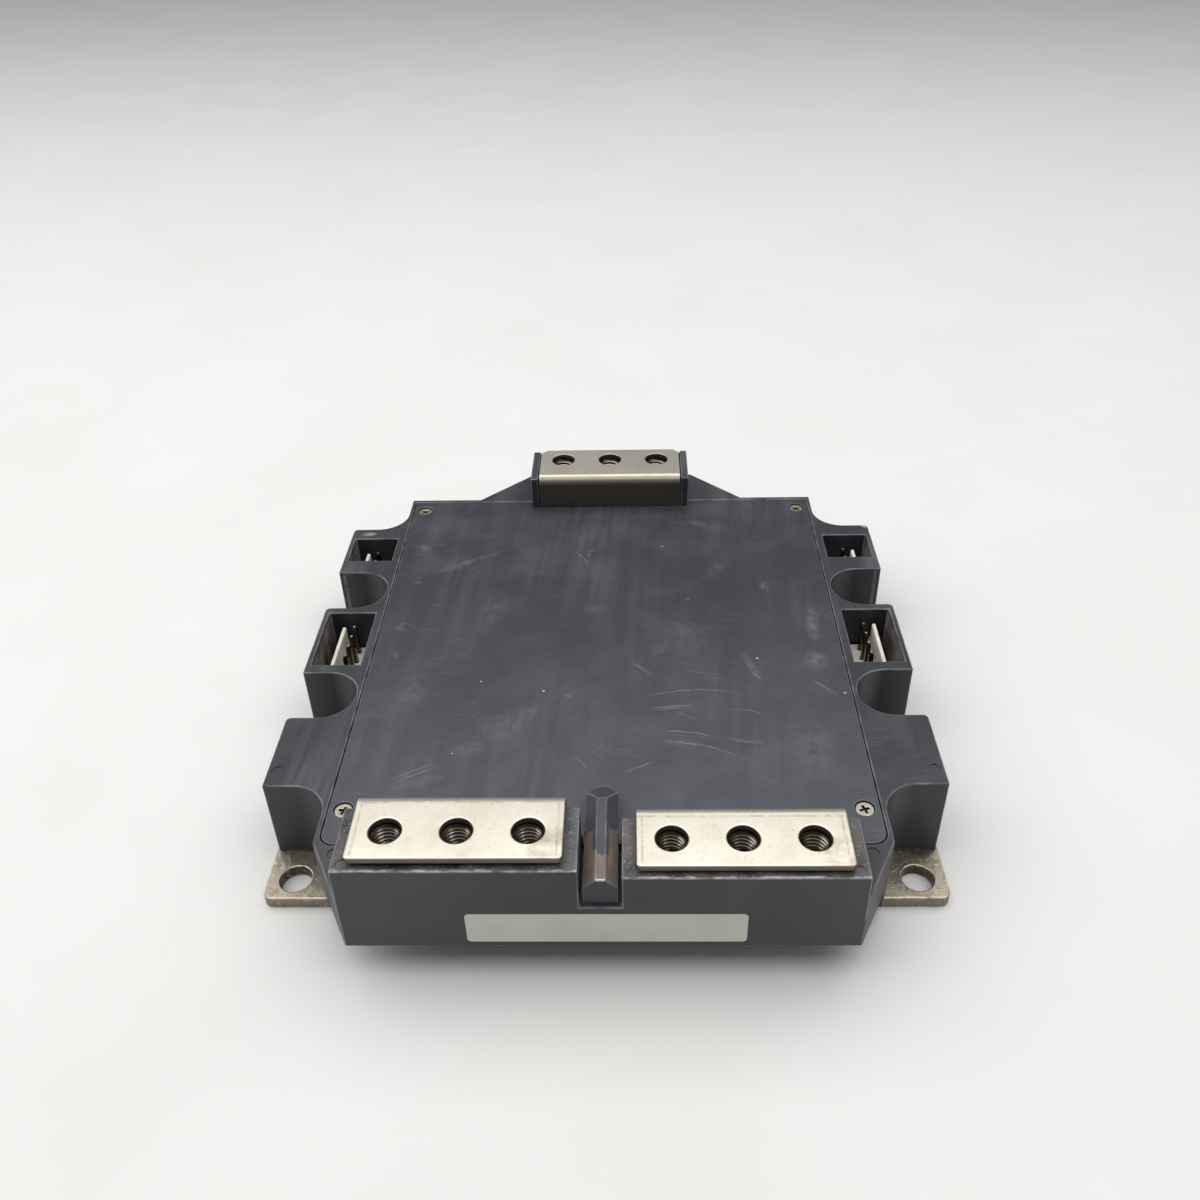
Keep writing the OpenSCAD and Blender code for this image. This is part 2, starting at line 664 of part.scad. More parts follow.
// Side profile of a terminal: a flat top from its free edge, a bend down into
// the case and a bend onto the busbar. The free edge is at y0, the leg's far
// side at y1
module terminal_profile(y0, y1, z) {
    r = term_ri + term_t;
    translate([y0, z - term_t]) square([y1 - r - y0, term_t]);
    translate([y1 - r, z - r]) bend();
    translate([y1 - term_t, bar_z + r]) square([term_t, z - 2*r - bar_z]);
    translate([y1 + term_ri, bar_z + r]) rotate(180) bend();
    translate([y1 + term_ri, bar_z]) square([-bar_end - y1 - term_ri, term_t]);
}

module terminal(y0, y1, z) {
    difference() {
        rotate([90, 0, 90]) translate([0, 0, -term_w/2]) linear_extrude(term_w) terminal_profile(y0, y1, z);
        for (i = [-1:1]) translate([i*term_pitch, -term_hole_y, z - term_t - 1]) cylinder(d = term_hole_d, h = term_t + 2);
        children();
    }
}

// What a rounded or chamfered free edge takes off both corners
module edge_rounds(y0, z) {
    both() translate([-term_w/2, y0, z - term_t - 1]) linear_extrude(term_t + 2) corner_cut(term_r);
}

module edge_chamfers(y0, z) {
    both() translate([-term_w/2, y0, z - term_t - 1]) linear_extrude(term_t + 2)
        polygon([[-1, -1], [term_ch + 1, -1], [term_ch, 0], [0, term_ch], [-1, term_ch + 1]]);
}

// A busbar strip over one column of substrates, with a foot on each
module bar(x, dir) {
    last = dir > 0 ? max(sub_ys) + foot_w/2 : -min(sub_ys) + foot_w/2;
    translate([x - bar_w/2, dir > 0 ? -bar_end - 1 : -last, bar_z]) cube([bar_w, bar_end + 1 + last, term_t]);
    for (y = sub_ys) translate([x, y - foot_w/2, die_z]) {
        translate([-term_t/2, 0, 0]) cube([term_t, foot_w, bar_z - die_z + 0.1]);
        translate([-term_t/2 - foot_l + term_t, 0, 0]) cube([foot_l, foot_w, foot_t]);
    }
}

module terminal_front_left() {
    color("#d8cfb4") {
        translate([-term_x, 0, 0]) terminal(edge_y_front, leg_y_left, term_z_left) edge_rounds(edge_y_front, term_z_left);
        half(-1) bar(bar_x_coll, 1);
    }
}

module terminal_front_right() {
    color("#d8cfb4") {
        translate([term_x, 0, 0]) terminal(edge_y_front, leg_y_right, term_z_right) edge_rounds(edge_y_front, term_z_right);
        bar(bar_x_emit, 1);
    }
}

module terminal_rear() {
    color("#c4baa4") {
        mirror([0, 1, 0]) terminal(-edge_y_rear, -leg_y_rear, term_z_rear) edge_chamfers(-edge_y_rear, term_z_rear);
        translate([0, bar_end, bar_z]) cube([bar_x_coll + bar_w/2, cavity_y - 0.5 - bar_end, term_t]);
        half(-1) bar(bar_x_emit, -1);
        bar(bar_x_coll, -1);
    }
}

module nut() {
    difference() {
        rotate(30) cylinder(d = nut_af/cos(30), h = nut_h, $fn = 6);
        translate([0, 0, -1]) cylinder(d = nut_bore_d, h = nut_h + 2);
    }
}

module nut_row(x, y, z) {
    color("#b8b2a2") for (i = [-1:1]) translate([x + i*term_pitch, y, z]) nut();
}

module nuts_front_left() { nut_row(-term_x, -term_hole_y, nut_z_left); }
module nuts_front_right() { nut_row(term_x, -term_hole_y, nut_z_right); }
module nuts_rear() { nut_row(0, term_hole_y, nut_z_rear); }

// ---- signal sockets ----

// Places of the pins along a side: socket 0 has five, socket 1 has two
function pin_ys(k) = [for (i = [0:pin_ns[k] - 1]) socket_ys[k] + (i - (pin_ns[k] - 1)/2)*pin_pitch];

// A header with a locking wall on its outer side and keying notches inside
module header(k) {
    l = header_ls[k];
    color("#e2dcc6") difference() {
        union() {
            translate([pin_x + lock_x - header_w, socket_ys[k] - l/2, pocket_z]) cube([header_w, l, header_h]);
            translate([pin_x + lock_x - lock_t, socket_ys[k] - l/2 + lock_inset, pocket_z])
                cube([lock_t, l - 2*lock_inset, lock_z - pocket_z]);
            for (y = [socket_ys[k] - l/2 + lock_inset, socket_ys[k] + l/2 - lock_inset - lock_t])
                translate([pin_x + lock_x - lock_t, y + lock_t, pocket_z + header_h]) rotate([90, 0, 0]) linear_extrude(lock_t)
                    polygon([[-web_l, 0], [0.1, 0], [0.1, web_h], [0, web_h]]);
        }
        for (y = pin_ys(k)) translate([pin_x - pin_w/2, y - pin_w/2, pocket_z - 1]) cube([pin_w, pin_w, header_h + 2]);
        for (y = pin_ys(k)) translate([pin_x + lock_x - header_w - 1, y - key_w/2, pocket_z + header_h - key_d]) cube([key_d + 1, key_w, key_d + 1]);
    }
}

// Square pins that turn inward under the socket floor onto the contact ledge
module pins(k) {
    color("#cfc8b4") for (y = pin_ys(k)) translate([0, y - pin_w/2, 0]) {
        translate([pin_x - pin_w/2, 0, tail_z]) cube([pin_w, pin_w, pin_z - tip_l - tail_z]);
        translate([cavity_top_x - tail_l, 0, tail_z]) cube([pin_x - cavity_top_x + tail_l, pin_w, pin_w]);
        translate([pin_x, pin_w/2, pin_z - tip_l]) rotate(45)
            cylinder(r1 = pin_w/sqrt(2), r2 = pin_w*0.3, h = tip_l, $fn = 4);
    }
}

module header_mid_left() { half(-1) header(0); }
module header_mid_right() { half(1) header(0); }
module header_rear_left() { half(-1) header(1); }
module header_rear_right() { half(1) header(1); }
module pins_mid_left() { half(-1) pins(0); }
module pins_mid_right() { half(1) pins(0); }
module pins_rear_left() { half(-1) pins(1); }
module pins_rear_right() { half(1) pins(1); }

// ---- label ----

module label() {
    color("#d9dad2") translate([label_x, -front_y, label_z]) rotate([90, 0, 0])
        linear_extrude(label_t) round_rect(label_w, label_h, label_r);
}

// ---- power stage ----

// A sheet on every substrate, between two places across a half
module sheets(x0, x1, l, z, t) {
    both() for (y = sub_ys) translate([x0, y - l/2, z]) cube([x1 - x0, l, t]);
}

module substrate_solder() {
    color("#9a9a96") sheets(emit_lo, track_hi, copper_l, base_t, solder_t);
}

module substrate_copper_bottom() {
    color("#b87a4c") sheets(emit_lo, track_hi, copper_l, cu_z, copper_t);
}

module substrate_ceramic() {
    color("#e6e4dc") sheets(sub_x - sub_w/2, sub_x + sub_w/2, sub_l, cer_z, ceramic_t);
}

module copper_collector() {
    color("#b87a4c") sheets(coll_lo, coll_hi, copper_l, top_z, copper_t);
}

module copper_emitter() {
    color("#b87a4c") sheets(emit_lo, emit_hi, copper_l, top_z, copper_t);
}

// Signal track of each substrate, parted between the pins that land on it
module copper_gate() {
    color("#b87a4c") difference() {
        sheets(track_lo, track_hi, copper_l, top_z, copper_t);
        both() for (k = [0, 1], i = [0:pin_ns[k] - 2])
            translate([track_lo - 1, (pin_ys(k)[i] + pin_ys(k)[i + 1])/2 - 0.3, top_z - 0.1]) cube([gate_w + 2, 0.6, copper_t + 1]);
    }
}

module chips(x, w) {
    both() for (y = sub_ys, v = row_ys) translate([x - w/2, y + v - igbt_s/2, die_z]) cube([w, igbt_s, chip_t]);
}

module igbt_chips() { color("#5c6470") chips(igbt_x, igbt_s); }
module diode_chips() { color("#6d7077") chips(diode_x, diode_w); }

// A bowed wire between two places across a half, with its ends cut off flat
module bow(xa, xb, z, h, d) {
    half_span = (xb - xa)/2;
    r = (half_span*half_span + h*h)/(2*h);
    translate([(xa + xb)/2, 0, z + h - r]) rotate([90, 0, 0]) rotate_extrude($fn = 36) translate([r, 0]) circle(d = d, $fn = 16);
}

// Everything above the surfaces that wires land on: z0 up to x, z1 beyond it
module above(x, z0, z1) {
    translate([0, -base_l, z0]) cube([x, 2*base_l, case_z]);
    translate([x - 0.1, -base_l, z1]) cube([case_w - x, 2*base_l, case_z]);
}

module bond_wires() {
    color("#c9cbd0") both() intersection() {
        for (y = sub_ys, v = row_ys, i = [0:wire_n - 1]) translate([0, y + v + (i - (wire_n - 1)/2)*wire_pitch, 0]) {
            bow(diode_x + wire_edge, igbt_x, chip_z, wire_h, wire_d);
            bow(land_x, diode_x - wire_edge, chip_z, wire_h, wire_d);
        }
        above(coll_lo, die_z, chip_z);
    }
}

module gate_wires() {
    gx = igbt_x + igbt_s/2 - gate_edge;
    tx = track_hi - gate_w/2;
    color("#c9cbd0") both() {
        intersection() {
            for (y = sub_ys, v = row_ys) translate([0, y + v, 0]) bow(gx, tx, chip_z, gate_wire_h, gate_wire_d);
            above(coll_hi, chip_z, die_z);
        }
        intersection() {
            for (k = [0, 1], y = pin_ys(k)) translate([0, y, 0]) bow(tx, cavity_top_x - tail_l/2, tail_z, pin_wire_h, gate_wire_d);
            above(cavity_x, die_z, tail_top);
        }
    }
}

// Insulating gel around and over the substrates
module gel() {
    room_z = chip_z + wire_h + wire_d;
    color("#cfd8d6", 0.5) difference() {
        translate([-cavity_x, -cavity_y, base_t]) cube([2*cavity_x, 2*cavity_y, gel_z - base_t]);
        screw_posts();
        both() for (y = sub_ys) translate([sub_x - sub_w/2, y - sub_l/2, base_t - 1])
            cube([cavity_x - sub_x + sub_w/2 + 1, sub_l, room_z - base_t + 1]);
        for (s = [-1, 1], x = [bar_x_coll, bar_x_emit], y = sub_ys) half(s)
            translate([x - term_t/2, y - foot_w/2, base_t]) cube([term_t, foot_w, gel_z]);
    }
}

base_plate();
case_seal();
case_frame();
lid();
lid_screws();
terminal_front_left();
terminal_front_right();
terminal_rear();
nuts_front_left();
nuts_front_right();
nuts_rear();
header_mid_left();
header_mid_right();
header_rear_left();
header_rear_right();
pins_mid_left();
pins_mid_right();
pins_rear_left();
pins_rear_right();
label();
substrate_solder();
substrate_copper_bottom();
substrate_ceramic();
copper_collector();
copper_emitter();
copper_gate();
igbt_chips();
diode_chips();
bond_wires();
gate_wires();
gel();
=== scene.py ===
"""Dual power module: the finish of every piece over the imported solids.

The moulded case, lid, plate, sheet-metal terminals and connector headers are
the solids with their edges broken as a mould, a press or wear leaves them, and
so are the lid screws. The captive nuts are modelled anew with a cut thread. Each
piece and each inner solid gets the material that it is made of.
"""

import json
import math

import bmesh
import bpy
from mathutils import Matrix, Vector


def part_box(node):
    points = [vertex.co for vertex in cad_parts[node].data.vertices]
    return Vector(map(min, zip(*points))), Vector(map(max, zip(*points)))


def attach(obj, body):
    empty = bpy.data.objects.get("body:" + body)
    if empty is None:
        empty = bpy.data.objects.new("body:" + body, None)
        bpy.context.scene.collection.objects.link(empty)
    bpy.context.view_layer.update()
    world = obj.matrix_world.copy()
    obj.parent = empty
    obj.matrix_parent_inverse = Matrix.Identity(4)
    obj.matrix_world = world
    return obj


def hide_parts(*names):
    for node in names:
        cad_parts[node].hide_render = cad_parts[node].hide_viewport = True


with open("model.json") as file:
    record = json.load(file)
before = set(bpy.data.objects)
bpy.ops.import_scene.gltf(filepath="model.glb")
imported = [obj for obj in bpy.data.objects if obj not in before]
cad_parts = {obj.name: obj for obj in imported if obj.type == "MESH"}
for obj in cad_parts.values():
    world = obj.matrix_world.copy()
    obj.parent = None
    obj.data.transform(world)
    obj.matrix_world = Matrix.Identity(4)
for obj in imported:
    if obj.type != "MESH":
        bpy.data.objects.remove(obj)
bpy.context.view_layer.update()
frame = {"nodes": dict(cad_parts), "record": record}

bl_info = {
    "name": "Dual power module",
    "version": (1, 0, 0),
    "blender": (4, 5, 0),
    "location": "3D View > Sidebar > Power Module",
    "description": "Finishes the pieces of a dual power module and lights them",
    "category": "Object",
}

MM = 0.001
NODES = frame["nodes"]
MOUNTS = {m["name"]: m for m in frame["record"]["mounts"]}
CASE_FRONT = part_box("case_frame")[0][1] / MM  # front face of the case, in mm
HEAD_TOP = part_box("lid_screws")[1][2] / MM  # top of the lid screws' heads, in mm
HEAD_SUNK = 0.4  # depth of the screws' heads below the lid's top face, in mm
LID_TOP = HEAD_TOP + HEAD_SUNK  # top face of the lid and of the side blocks, in mm
PIN_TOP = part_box("pins_mid_left")[1][2] / MM  # tips of the signal pins, in mm
SLOT_HALF = 4.3  # half the width of the creepage slot, with the slack of its edges, in mm
# Film in the slot, in mm: how far back it lies and up to what height, first on the
# barrier rib's slopes and then on its flat top
SLOT_FILM = ((-67.6, 28.2), (-74.6, 30))
SOCKET_WALL = (72.9, 73.3)  # about the inner face of a socket's outer wall, from the middle, in mm
TERMINAL_WIDTH = 42  # width of a front terminal's top, in mm
# Distance from a front terminal's free edge to the painted dark line before its bend, a painted gap in the
# bend's reflection, in mm
BEND_SHADE_INSETS = {"terminal_front_left": 14.2, "terminal_front_right": 12.4}
# Marks on the side blocks' tops, in mm: x, y, length, width, turn in degrees
CORNER_CHIP = (73.4, 50.4, 2.2, 0.9, -30)
BLOCK_RUB = (-69.65, 48.7, 5.5, 2.4, 8)

FLOOR_HALF = 3.0  # half the floor's width, in metres
FLOOR_PLACE = (0, 1.0, -0.05 * MM)  # just below the plate, so that the two don't share a plane
SOFTBOX_PLACE = (-0.5, 0.05, 0.8)  # in metres
SOFTBOX_SIZE = (2.6, 1.1)  # width and depth in metres

SAME_PLANE = 0.99999  # least cosine between the normals of one flat face
SHARP_EDGE = math.radians(32)  # least angle of an edge that is broken
EDGE_STEPS = 3  # facets across a broken edge
THREAD_CREST = 2.5 * MM  # radius of the M6 thread's crests
CREST_SHARE = 14  # the pitch over half the width of a crest's flat
TURN_STEPS = 36  # facets round a thread
COUNTERSINK_DEPTH = 0.35 * MM
COUNTERSINK_LIP = 0.1 * MM  # reach of a nut's countersink past the thread's roots

# Bundles of hairline scratches on the lid, in mm: middle x and y, length, turn in degrees,
# bend radius and width
LID_SCRATCHES = (
    (19.5, -20.4, 24, 4, 32, 0.7), (16, -26.4, 11, 6, 50, 1.6), (32.7, -27.7, 10, -10, 28, 0.7),
    (18.8, -29.4, 6, -23, 60, 0.9), (19.2, -35.4, 13, -11, 30, 1.8), (22.8, -40, 21, -18, 44, 1.0),
    (35.8, -50, 11, -28, 90, 0.6), (31.7, -37.3, 10, -14, 60, 1.2), (-5.1, -44.6, 7, -55, 40, 0.6),
    (-1.1, -42, 5, -46, 60, 0.6), (-7.4, 35.7, 8, -60, 18, 0.6), (-37.1, 16.3, 5, 67, 30, 0.5),
    (-37.6, -0.7, 8, 22, 90, 0.6), (9, -12.4, 9, -40, 60, 1.2), (36.2, -15.2, 5, -60, 40, 0.8),
    (-42, -47.5, 12, 28, 90, 1.6), (8, -46, 7, 35, 50, 0.8), (52, -19.5, 9, -48, 70, 1.4),
)
# Smears on the lid: middle x and y, length, width, turn in degrees and strength
LID_SMEARS = (
    (-38.5, 34.3, 26, 2.4, 31, 0.6), (-53.3, 4.4, 3.6, 3.4, 8, 0.6), (-52.8, -6.6, 3.8, 3.6, 8, 0.6),
    (-22.5, -32.5, 17, 10, 25, 0.5), (-17.5, -27.5, 7, 5, 40, 0.5), (-31, -40, 12, 7, 15, 0.4),
    (-52.1, 24.5, 3, 2, 0, 0.9), (-53, 41, 5, 5, 0, 0.5), (13.2, -5, 8, 3.5, 60, 0.6),
    (-5, 38, 5, 3, 60, 0.8), (27, 52, 15, 4, -25, 0.5), (41.9, 21.3, 9, 3, 100, 0.7),
    (35.5, -11, 14, 2.4, 112, 0.6), (52.6, 5, 17, 4.5, 88, 0.9), (51.3, -9.5, 10, 7, 70, 0.9),
    (-40, -50, 15, 4, 18, 0.5), (17, -38, 12, 5, -12, 0.5), (47, -40, 14, 22, 0, 0.4),
    (21.3, 15.9, 1.8, 0.8, 30, 1.6), (14.8, 40.8, 1.5, 0.9, 20, 1.8), (-9.5, -22, 3, 1, -30, 1.0),
    (-3.5, 12, 9, 5, 10, 0.4), (-30, 10, 20, 9, 80, 0.35), (20, 0, 30, 12, 95, 0.3),
    (-46, -20, 24, 10, 85, 0.35), (30, 30, 16, 7, 60, 0.3),
)
# Pale specks on the lid: x, y and width
LID_SPECKS = (
    (37.2, -8.7, 0.7), (-30.2, -16.8, 0.55), (-14.8, -20.4, 0.7), (-34.1, -41.4, 0.4),
    (56.7, -21.7, 0.7),
)


def linear(code):
    """An sRGB hex colour as linear red, green and blue."""
    parts = [int(code[i:i + 2], 16) / 255 for i in (1, 3, 5)]
    return tuple(c / 12.92 if c <= 0.04045 else ((c + 0.055) / 1.055) ** 2.4 for c in parts)


# ---- sizes and colours that a user would change ----


class ModuleSizes(bpy.types.PropertyGroup):
    mould_edge: bpy.props.FloatProperty(
        name="Moulded edge", description="Radius that the mould and handling leave on the case's edges",
        default=0.3 * MM, min=0.05 * MM, max=0.4 * MM, unit="LENGTH", precision=5)
    sheet_edge: bpy.props.FloatProperty(
        name="Sheet edge", description="Radius of a terminal's stamped and plated edges",
        default=0.35 * MM, min=0.05 * MM, max=0.5 * MM, unit="LENGTH", precision=5)
    plate_edge: bpy.props.FloatProperty(
        name="Plate edge", description="Radius of the base plate's edges and hole rims",
        default=0.35 * MM, min=0.05 * MM, max=0.6 * MM, unit="LENGTH", precision=5)
    header_edge: bpy.props.FloatProperty(
        name="Header edge", description="Radius of the connector headers' edges",
        default=0.35 * MM, min=0.03 * MM, max=0.4 * MM, unit="LENGTH", precision=5)
    thread_pitch: bpy.props.FloatProperty(
        name="Thread pitch", description="Pitch of the M6 thread in a captive nut",
        default=1.0 * MM, min=0.75 * MM, max=1.25 * MM, unit="LENGTH", precision=5)
    thread_depth: bpy.props.FloatProperty(
        name="Thread depth", description="Depth of the thread from its crests",
        default=0.5 * MM, min=0.3 * MM, max=0.6 * MM, unit="LENGTH", precision=5)


class ModuleColours(bpy.types.PropertyGroup):
    case: bpy.props.FloatVectorProperty(
        name="Case", description="Slate-black moulded plastic of the case",
        default=linear("#222329"), size=3, subtype="COLOR", min=0, max=1)
    lid: bpy.props.FloatVectorProperty(
        name="Lid", description="Slate-black moulded plastic of the lid",
        default=linear("#24262d"), size=3, subtype="COLOR", min=0, max=1)
    nickel: bpy.props.FloatVectorProperty(
        name="Nickel", description="Plating of the terminals",
        default=linear("#f0e9d9"), size=3, subtype="COLOR", min=0, max=1)
    plate: bpy.props.FloatVectorProperty(
        name="Plate", description="Plating of the base plate, under its grime",
        default=linear("#b4ab97"), size=3, subtype="COLOR", min=0, max=1)
    nylon: bpy.props.FloatVectorProperty(
        name="Nylon", description="Off-white nylon of the connector headers",
        default=linear("#ebe7d8"), size=3, subtype="COLOR", min=0, max=1)
    label: bpy.props.FloatVectorProperty(
        name="Label", description="Bare film of the label",
        default=linear("#c4c4b8"), size=3, subtype="COLOR", min=0, max=1)


class StageSettings(bpy.types.PropertyGroup):
    floor: bpy.props.FloatVectorProperty(
        name="Floor", description="Plain pale floor",
        default=linear("#e9e8e5"), size=3, subtype="COLOR", min=0, max=1)
    aim: bpy.props.FloatVectorProperty(
        name="Aim", description="Point on the floor that the camera looks at",
        default=(-1.67 * MM, 63.01 * MM, 0), size=3, subtype="TRANSLATION")
    distance: bpy.props.FloatProperty(
        name="Distance", description="Distance from the camera to that point",
        default=351.1 * MM, min=0.1, max=2, unit="LENGTH")
    elevation: bpy.props.FloatProperty(
        name="Elevation", description="Height of the camera as an angle above the floor",
        default=math.radians(35.15), subtype="ANGLE")
    azimuth: bpy.props.FloatProperty(
        name="Azimuth", description="Turn of the camera about the module",
        default=math.radians(1.76), subtype="ANGLE")
    roll: bpy.props.FloatProperty(
        name="Roll", description="Turn of the camera about its own line of sight",
        default=math.radians(-1.49), subtype="ANGLE")
    lens: bpy.props.FloatProperty(
        name="Lens", description="Focal length in millimetres for a 36 mm wide sensor",
        default=33.83, min=10, max=200)
    shift: bpy.props.FloatVectorProperty(
        name="Shift", description="Sideways and upward shift of the lens, as a share of the sensor",
        default=(-0.0051, -0.0243), size=2)
    sky: bpy.props.FloatProperty(
        name="Sky", description="Strength of the even light from all round",
        default=0.38, min=0, max=5)
    softbox: bpy.props.FloatProperty(
        name="Softbox", description="Power of the softbox overhead",
        default=15.2, min=0, max=1000, unit="POWER")


# ---- building blocks of pieces ----


def flat_faces(bm):
    """Each flat face of a shell of triangles, as the list of its triangles."""
    seen = set()
    for first in bm.faces:
        if first in seen:
            continue
        seen.add(first)
        flat, ahead = [first], [first]
        while ahead:
            for edge in ahead.pop().edges:
                for face in edge.link_faces:
                    if face not in seen and face.normal.dot(first.normal) > SAME_PLANE:
                        seen.add(face)
                        flat.append(face)
                        ahead.append(face)
        yield flat


def outlines(flat):
    """The closed outlines of one flat face, each as the corners on it."""
    own = set(flat)
    rim = [e for f in flat for e in f.edges if sum(face in own for face in e.link_faces) == 1]
    left = set(rim)
    for first in rim:
        if first not in left:
            continue
        left.discard(first)
        corners, ahead = [], [first]
        while ahead:
            for vert in ahead.pop().verts:
                corners.append(vert.co.copy())
                joined = [e for e in vert.link_edges if e in left]
                left.difference_update(joined)
                ahead.extend(joined)
        yield corners


def split_lines(bm):
    """A line through the middle of each opening in a flat face: point, face's normal, line's normal."""
    for flat in flat_faces(bm):
        loops = [(Vector(map(min, zip(*loop))), Vector(map(max, zip(*loop)))) for loop in outlines(flat)]
        if len(loops) < 2:
            continue
        widest = max(loops, key=lambda ends: (ends[1] - ends[0]).length)
        normal = flat[0].normal.copy()
        across = Vector((0, 1, 0)) if abs(normal.x) > 0.7 else Vector((1, 0, 0))
        for ends in loops:
            if ends is not widest:
                yield (ends[0] + ends[1]) / 2, normal, across


def merged_copy(node):
    """A solid's loose triangles as one shell whose flat faces are whole, but for a
    line through each opening, so that no face runs round an opening."""
    bm = bmesh.new()
    bm.from_mesh(NODES[node].data)
    bmesh.ops.remove_doubles(bm, verts=bm.verts, dist=1e-6)
    for point, normal, across in list(split_lines(bm)):
        faces = [f for f in bm.faces if f.normal.dot(normal) > SAME_PLANE
                 and abs((f.verts[0].co - point).dot(normal)) < 1e-6]
        edges = {e for f in faces for e in f.edges}
        verts = {v for f in faces for v in f.verts}
        cut = bmesh.ops.bisect_plane(bm, geom=[*faces, *sorted(edges, key=lambda e: e.index),
                                               *sorted(verts, key=lambda v: v.index)],
                                     dist=1e-7, plane_co=point, plane_no=across)
        for part in cut["geom_cut"]:
            if isinstance(part, bmesh.types.BMEdge):
                part.seam = True
        bm.edges.index_update()
        bm.verts.index_update()
    bmesh.ops.dissolve_limit(bm, angle_limit=math.radians(0.5), verts=bm.verts, edges=bm.edges,
                             use_dissolve_boundaries=False, delimit={"SEAM"})
    return bm


def reach(edge, face):
    """How far a face runs away from one of its edges."""
    start = edge.verts[0].co
    along = (edge.verts[1].co - start).normalized()
    return max((v.co - start - along * along.dot(v.co - start)).length for v in face.verts)


def break_edges(bm, width):
    """Rounds every sharp edge that has room for it and marks the rounds."""
    wear = bm.loops.layers.float.new("edge_wear")
    sharp = [e for e in bm.edges
             if e.is_manifold and e.calc_face_angle(0) > SHARP_EDGE
             and min(reach(e, f) for f in e.link_faces) > 2.1 * width]
    made = bmesh.ops.bevel(bm, geom=sharp, offset=width, offset_type="OFFSET", affect="EDGES",
                           segments=EDGE_STEPS, profile=0.5, material=-1, clamp_overlap=False,
                           loop_slide=True)
    for face in made["faces"]:
        for corner in face.loops:
            corner[wear] = 1


def finish_piece(name, bm, finish, replaced, smooth=42):
    """A piece at the origin that rides with the module and stands for its solids."""
    mesh = bpy.data.meshes.new(name)
    bm.to_mesh(mesh)
    bm.free()
    mesh.shade_smooth()
    mesh.set_sharp_from_angle(angle=math.radians(smooth))
    piece = bpy.data.objects.new(name, mesh)
    bpy.context.scene.collection.objects.link(piece)
    even = piece.modifiers.new("Even normals", "WEIGHTED_NORMAL")
    even.keep_sharp = True
    even.weight = 60
    mesh.materials.append(finish)
    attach(piece, "root")
    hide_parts(*replaced)


def dress(node, finish):
    """Gives a solid that keeps its own shape the material that it is made of."""
    mesh = NODES[node].data
    if not NODES[node].material_slots:
        mesh.materials.append(finish)
    for place in NODES[node].material_slots:
        place.material = finish


# ---- building blocks of materials ----


def new_material(name, base, metallic=0.0, roughness=0.5, **sockets):
    """A material whose even values are set on its shader, and places on its piece."""
    mat = bpy.data.materials.new(name)
    mat.use_nodes = True
    shader = mat.node_tree.nodes["Principled BSDF"]
    shader.inputs["Base Color"].default_value = (*base, 1)
    shader.inputs["Metallic"].default_value = metallic
    shader.inputs["Roughness"].default_value = roughness
    for socket, value in sockets.items():
        shader.inputs[socket.replace("_", " ")].default_value = value
    return mat, add_node(mat, "TexCoord", out="Object")


def add_node(mat, kind, inputs=None, out=0, **settings):
    """Adds a node, sets or links its inputs and gives one of its outputs."""
    made = mat.node_tree.nodes.new("ShaderNode" + kind)
    for key, value in settings.items():
        setattr(made, key, value)
    for key, value in (inputs or {}).items():
        if isinstance(value, bpy.types.NodeSocket):
            mat.node_tree.links.new(value, made.inputs[key])
        else:
            made.inputs[key].default_value = value
    return made.outputs[out]


def feed(mat, colour, rough, height, strength, distance):
    """Leads the finished patterns to the shader: colour, roughness and relief."""
    shader = mat.node_tree.nodes["Principled BSDF"]
    relief = add_node(mat, "Bump", {"Height": height, "Strength": strength, "Distance": distance})
    for socket, source in (("Base Color", colour), ("Roughness", rough), ("Normal", relief)):
        mat.node_tree.links.new(source, shader.inputs[socket])


def patches(mat, spot, size, least, most, turn=0.0, seed=0, detail=3.0):
    """Patches of a real size in mm along x, y and z: 0 outside them, 1 well inside."""
    place = add_node(mat, "Mapping", {"Vector": spot, "Location": (0.037 * seed, 0.023 * seed, 0.011 * seed),
                                      "Rotation": (0, 0, math.radians(turn)),
                                      "Scale": [s * MM for s in size]}, vector_type="TEXTURE")
    cloud = add_node(mat, "TexNoise", {"Vector": place, "Scale": 1.0, "Detail": detail, "Roughness": 0.55})
    return add_node(mat, "MapRange", {"Value": cloud, "From Min": least, "From Max": most})


def stain(mat, under, code, mask, share):
    """Lays a colour over what is there where a mask is 1, at most by a share."""
    amount = add_node(mat, "Math", {0: mask, 1: share}, operation="MULTIPLY")
    return add_node(mat, "Mix", {"Factor": amount, "A": under, "B": (*linear(code), 1)}, out=2,
                    data_type="RGBA")


def within(mat, first, *others):
    """Where all of several masks hold."""
    for other in others:
        first = add_node(mat, "Math", {0: first, 1: other}, operation="MULTIPLY")
    return first


def either(mat, masks):
    """Where one or another of several masks holds."""
    first, *others = masks
    for other in others:
        first = add_node(mat, "Math", {0: first, 1: other}, operation="MAXIMUM")
    return first


def around_box(mat, spot, low, high, soft):
    """A box in mm: 1 inside it, fading to 0 over a soft distance outside it."""
    middle = [(a + b) / 2 * MM for a, b in zip(low, high)]
    half = [(b - a) / 2 * MM for a, b in zip(low, high)]
    off = add_node(mat, "VectorMath", {0: spot, 1: middle}, operation="SUBTRACT")
    off = add_node(mat, "VectorMath", {0: off}, operation="ABSOLUTE")
    off = add_node(mat, "VectorMath", {0: off, 1: half}, operation="SUBTRACT")
    off = add_node(mat, "VectorMath", {0: off, 1: (0, 0, 0)}, operation="MAXIMUM")
    far = add_node(mat, "VectorMath", {0: off}, out="Value", operation="LENGTH")
    return add_node(mat, "MapRange", {"Value": far, "From Min": soft * MM, "From Max": 0})


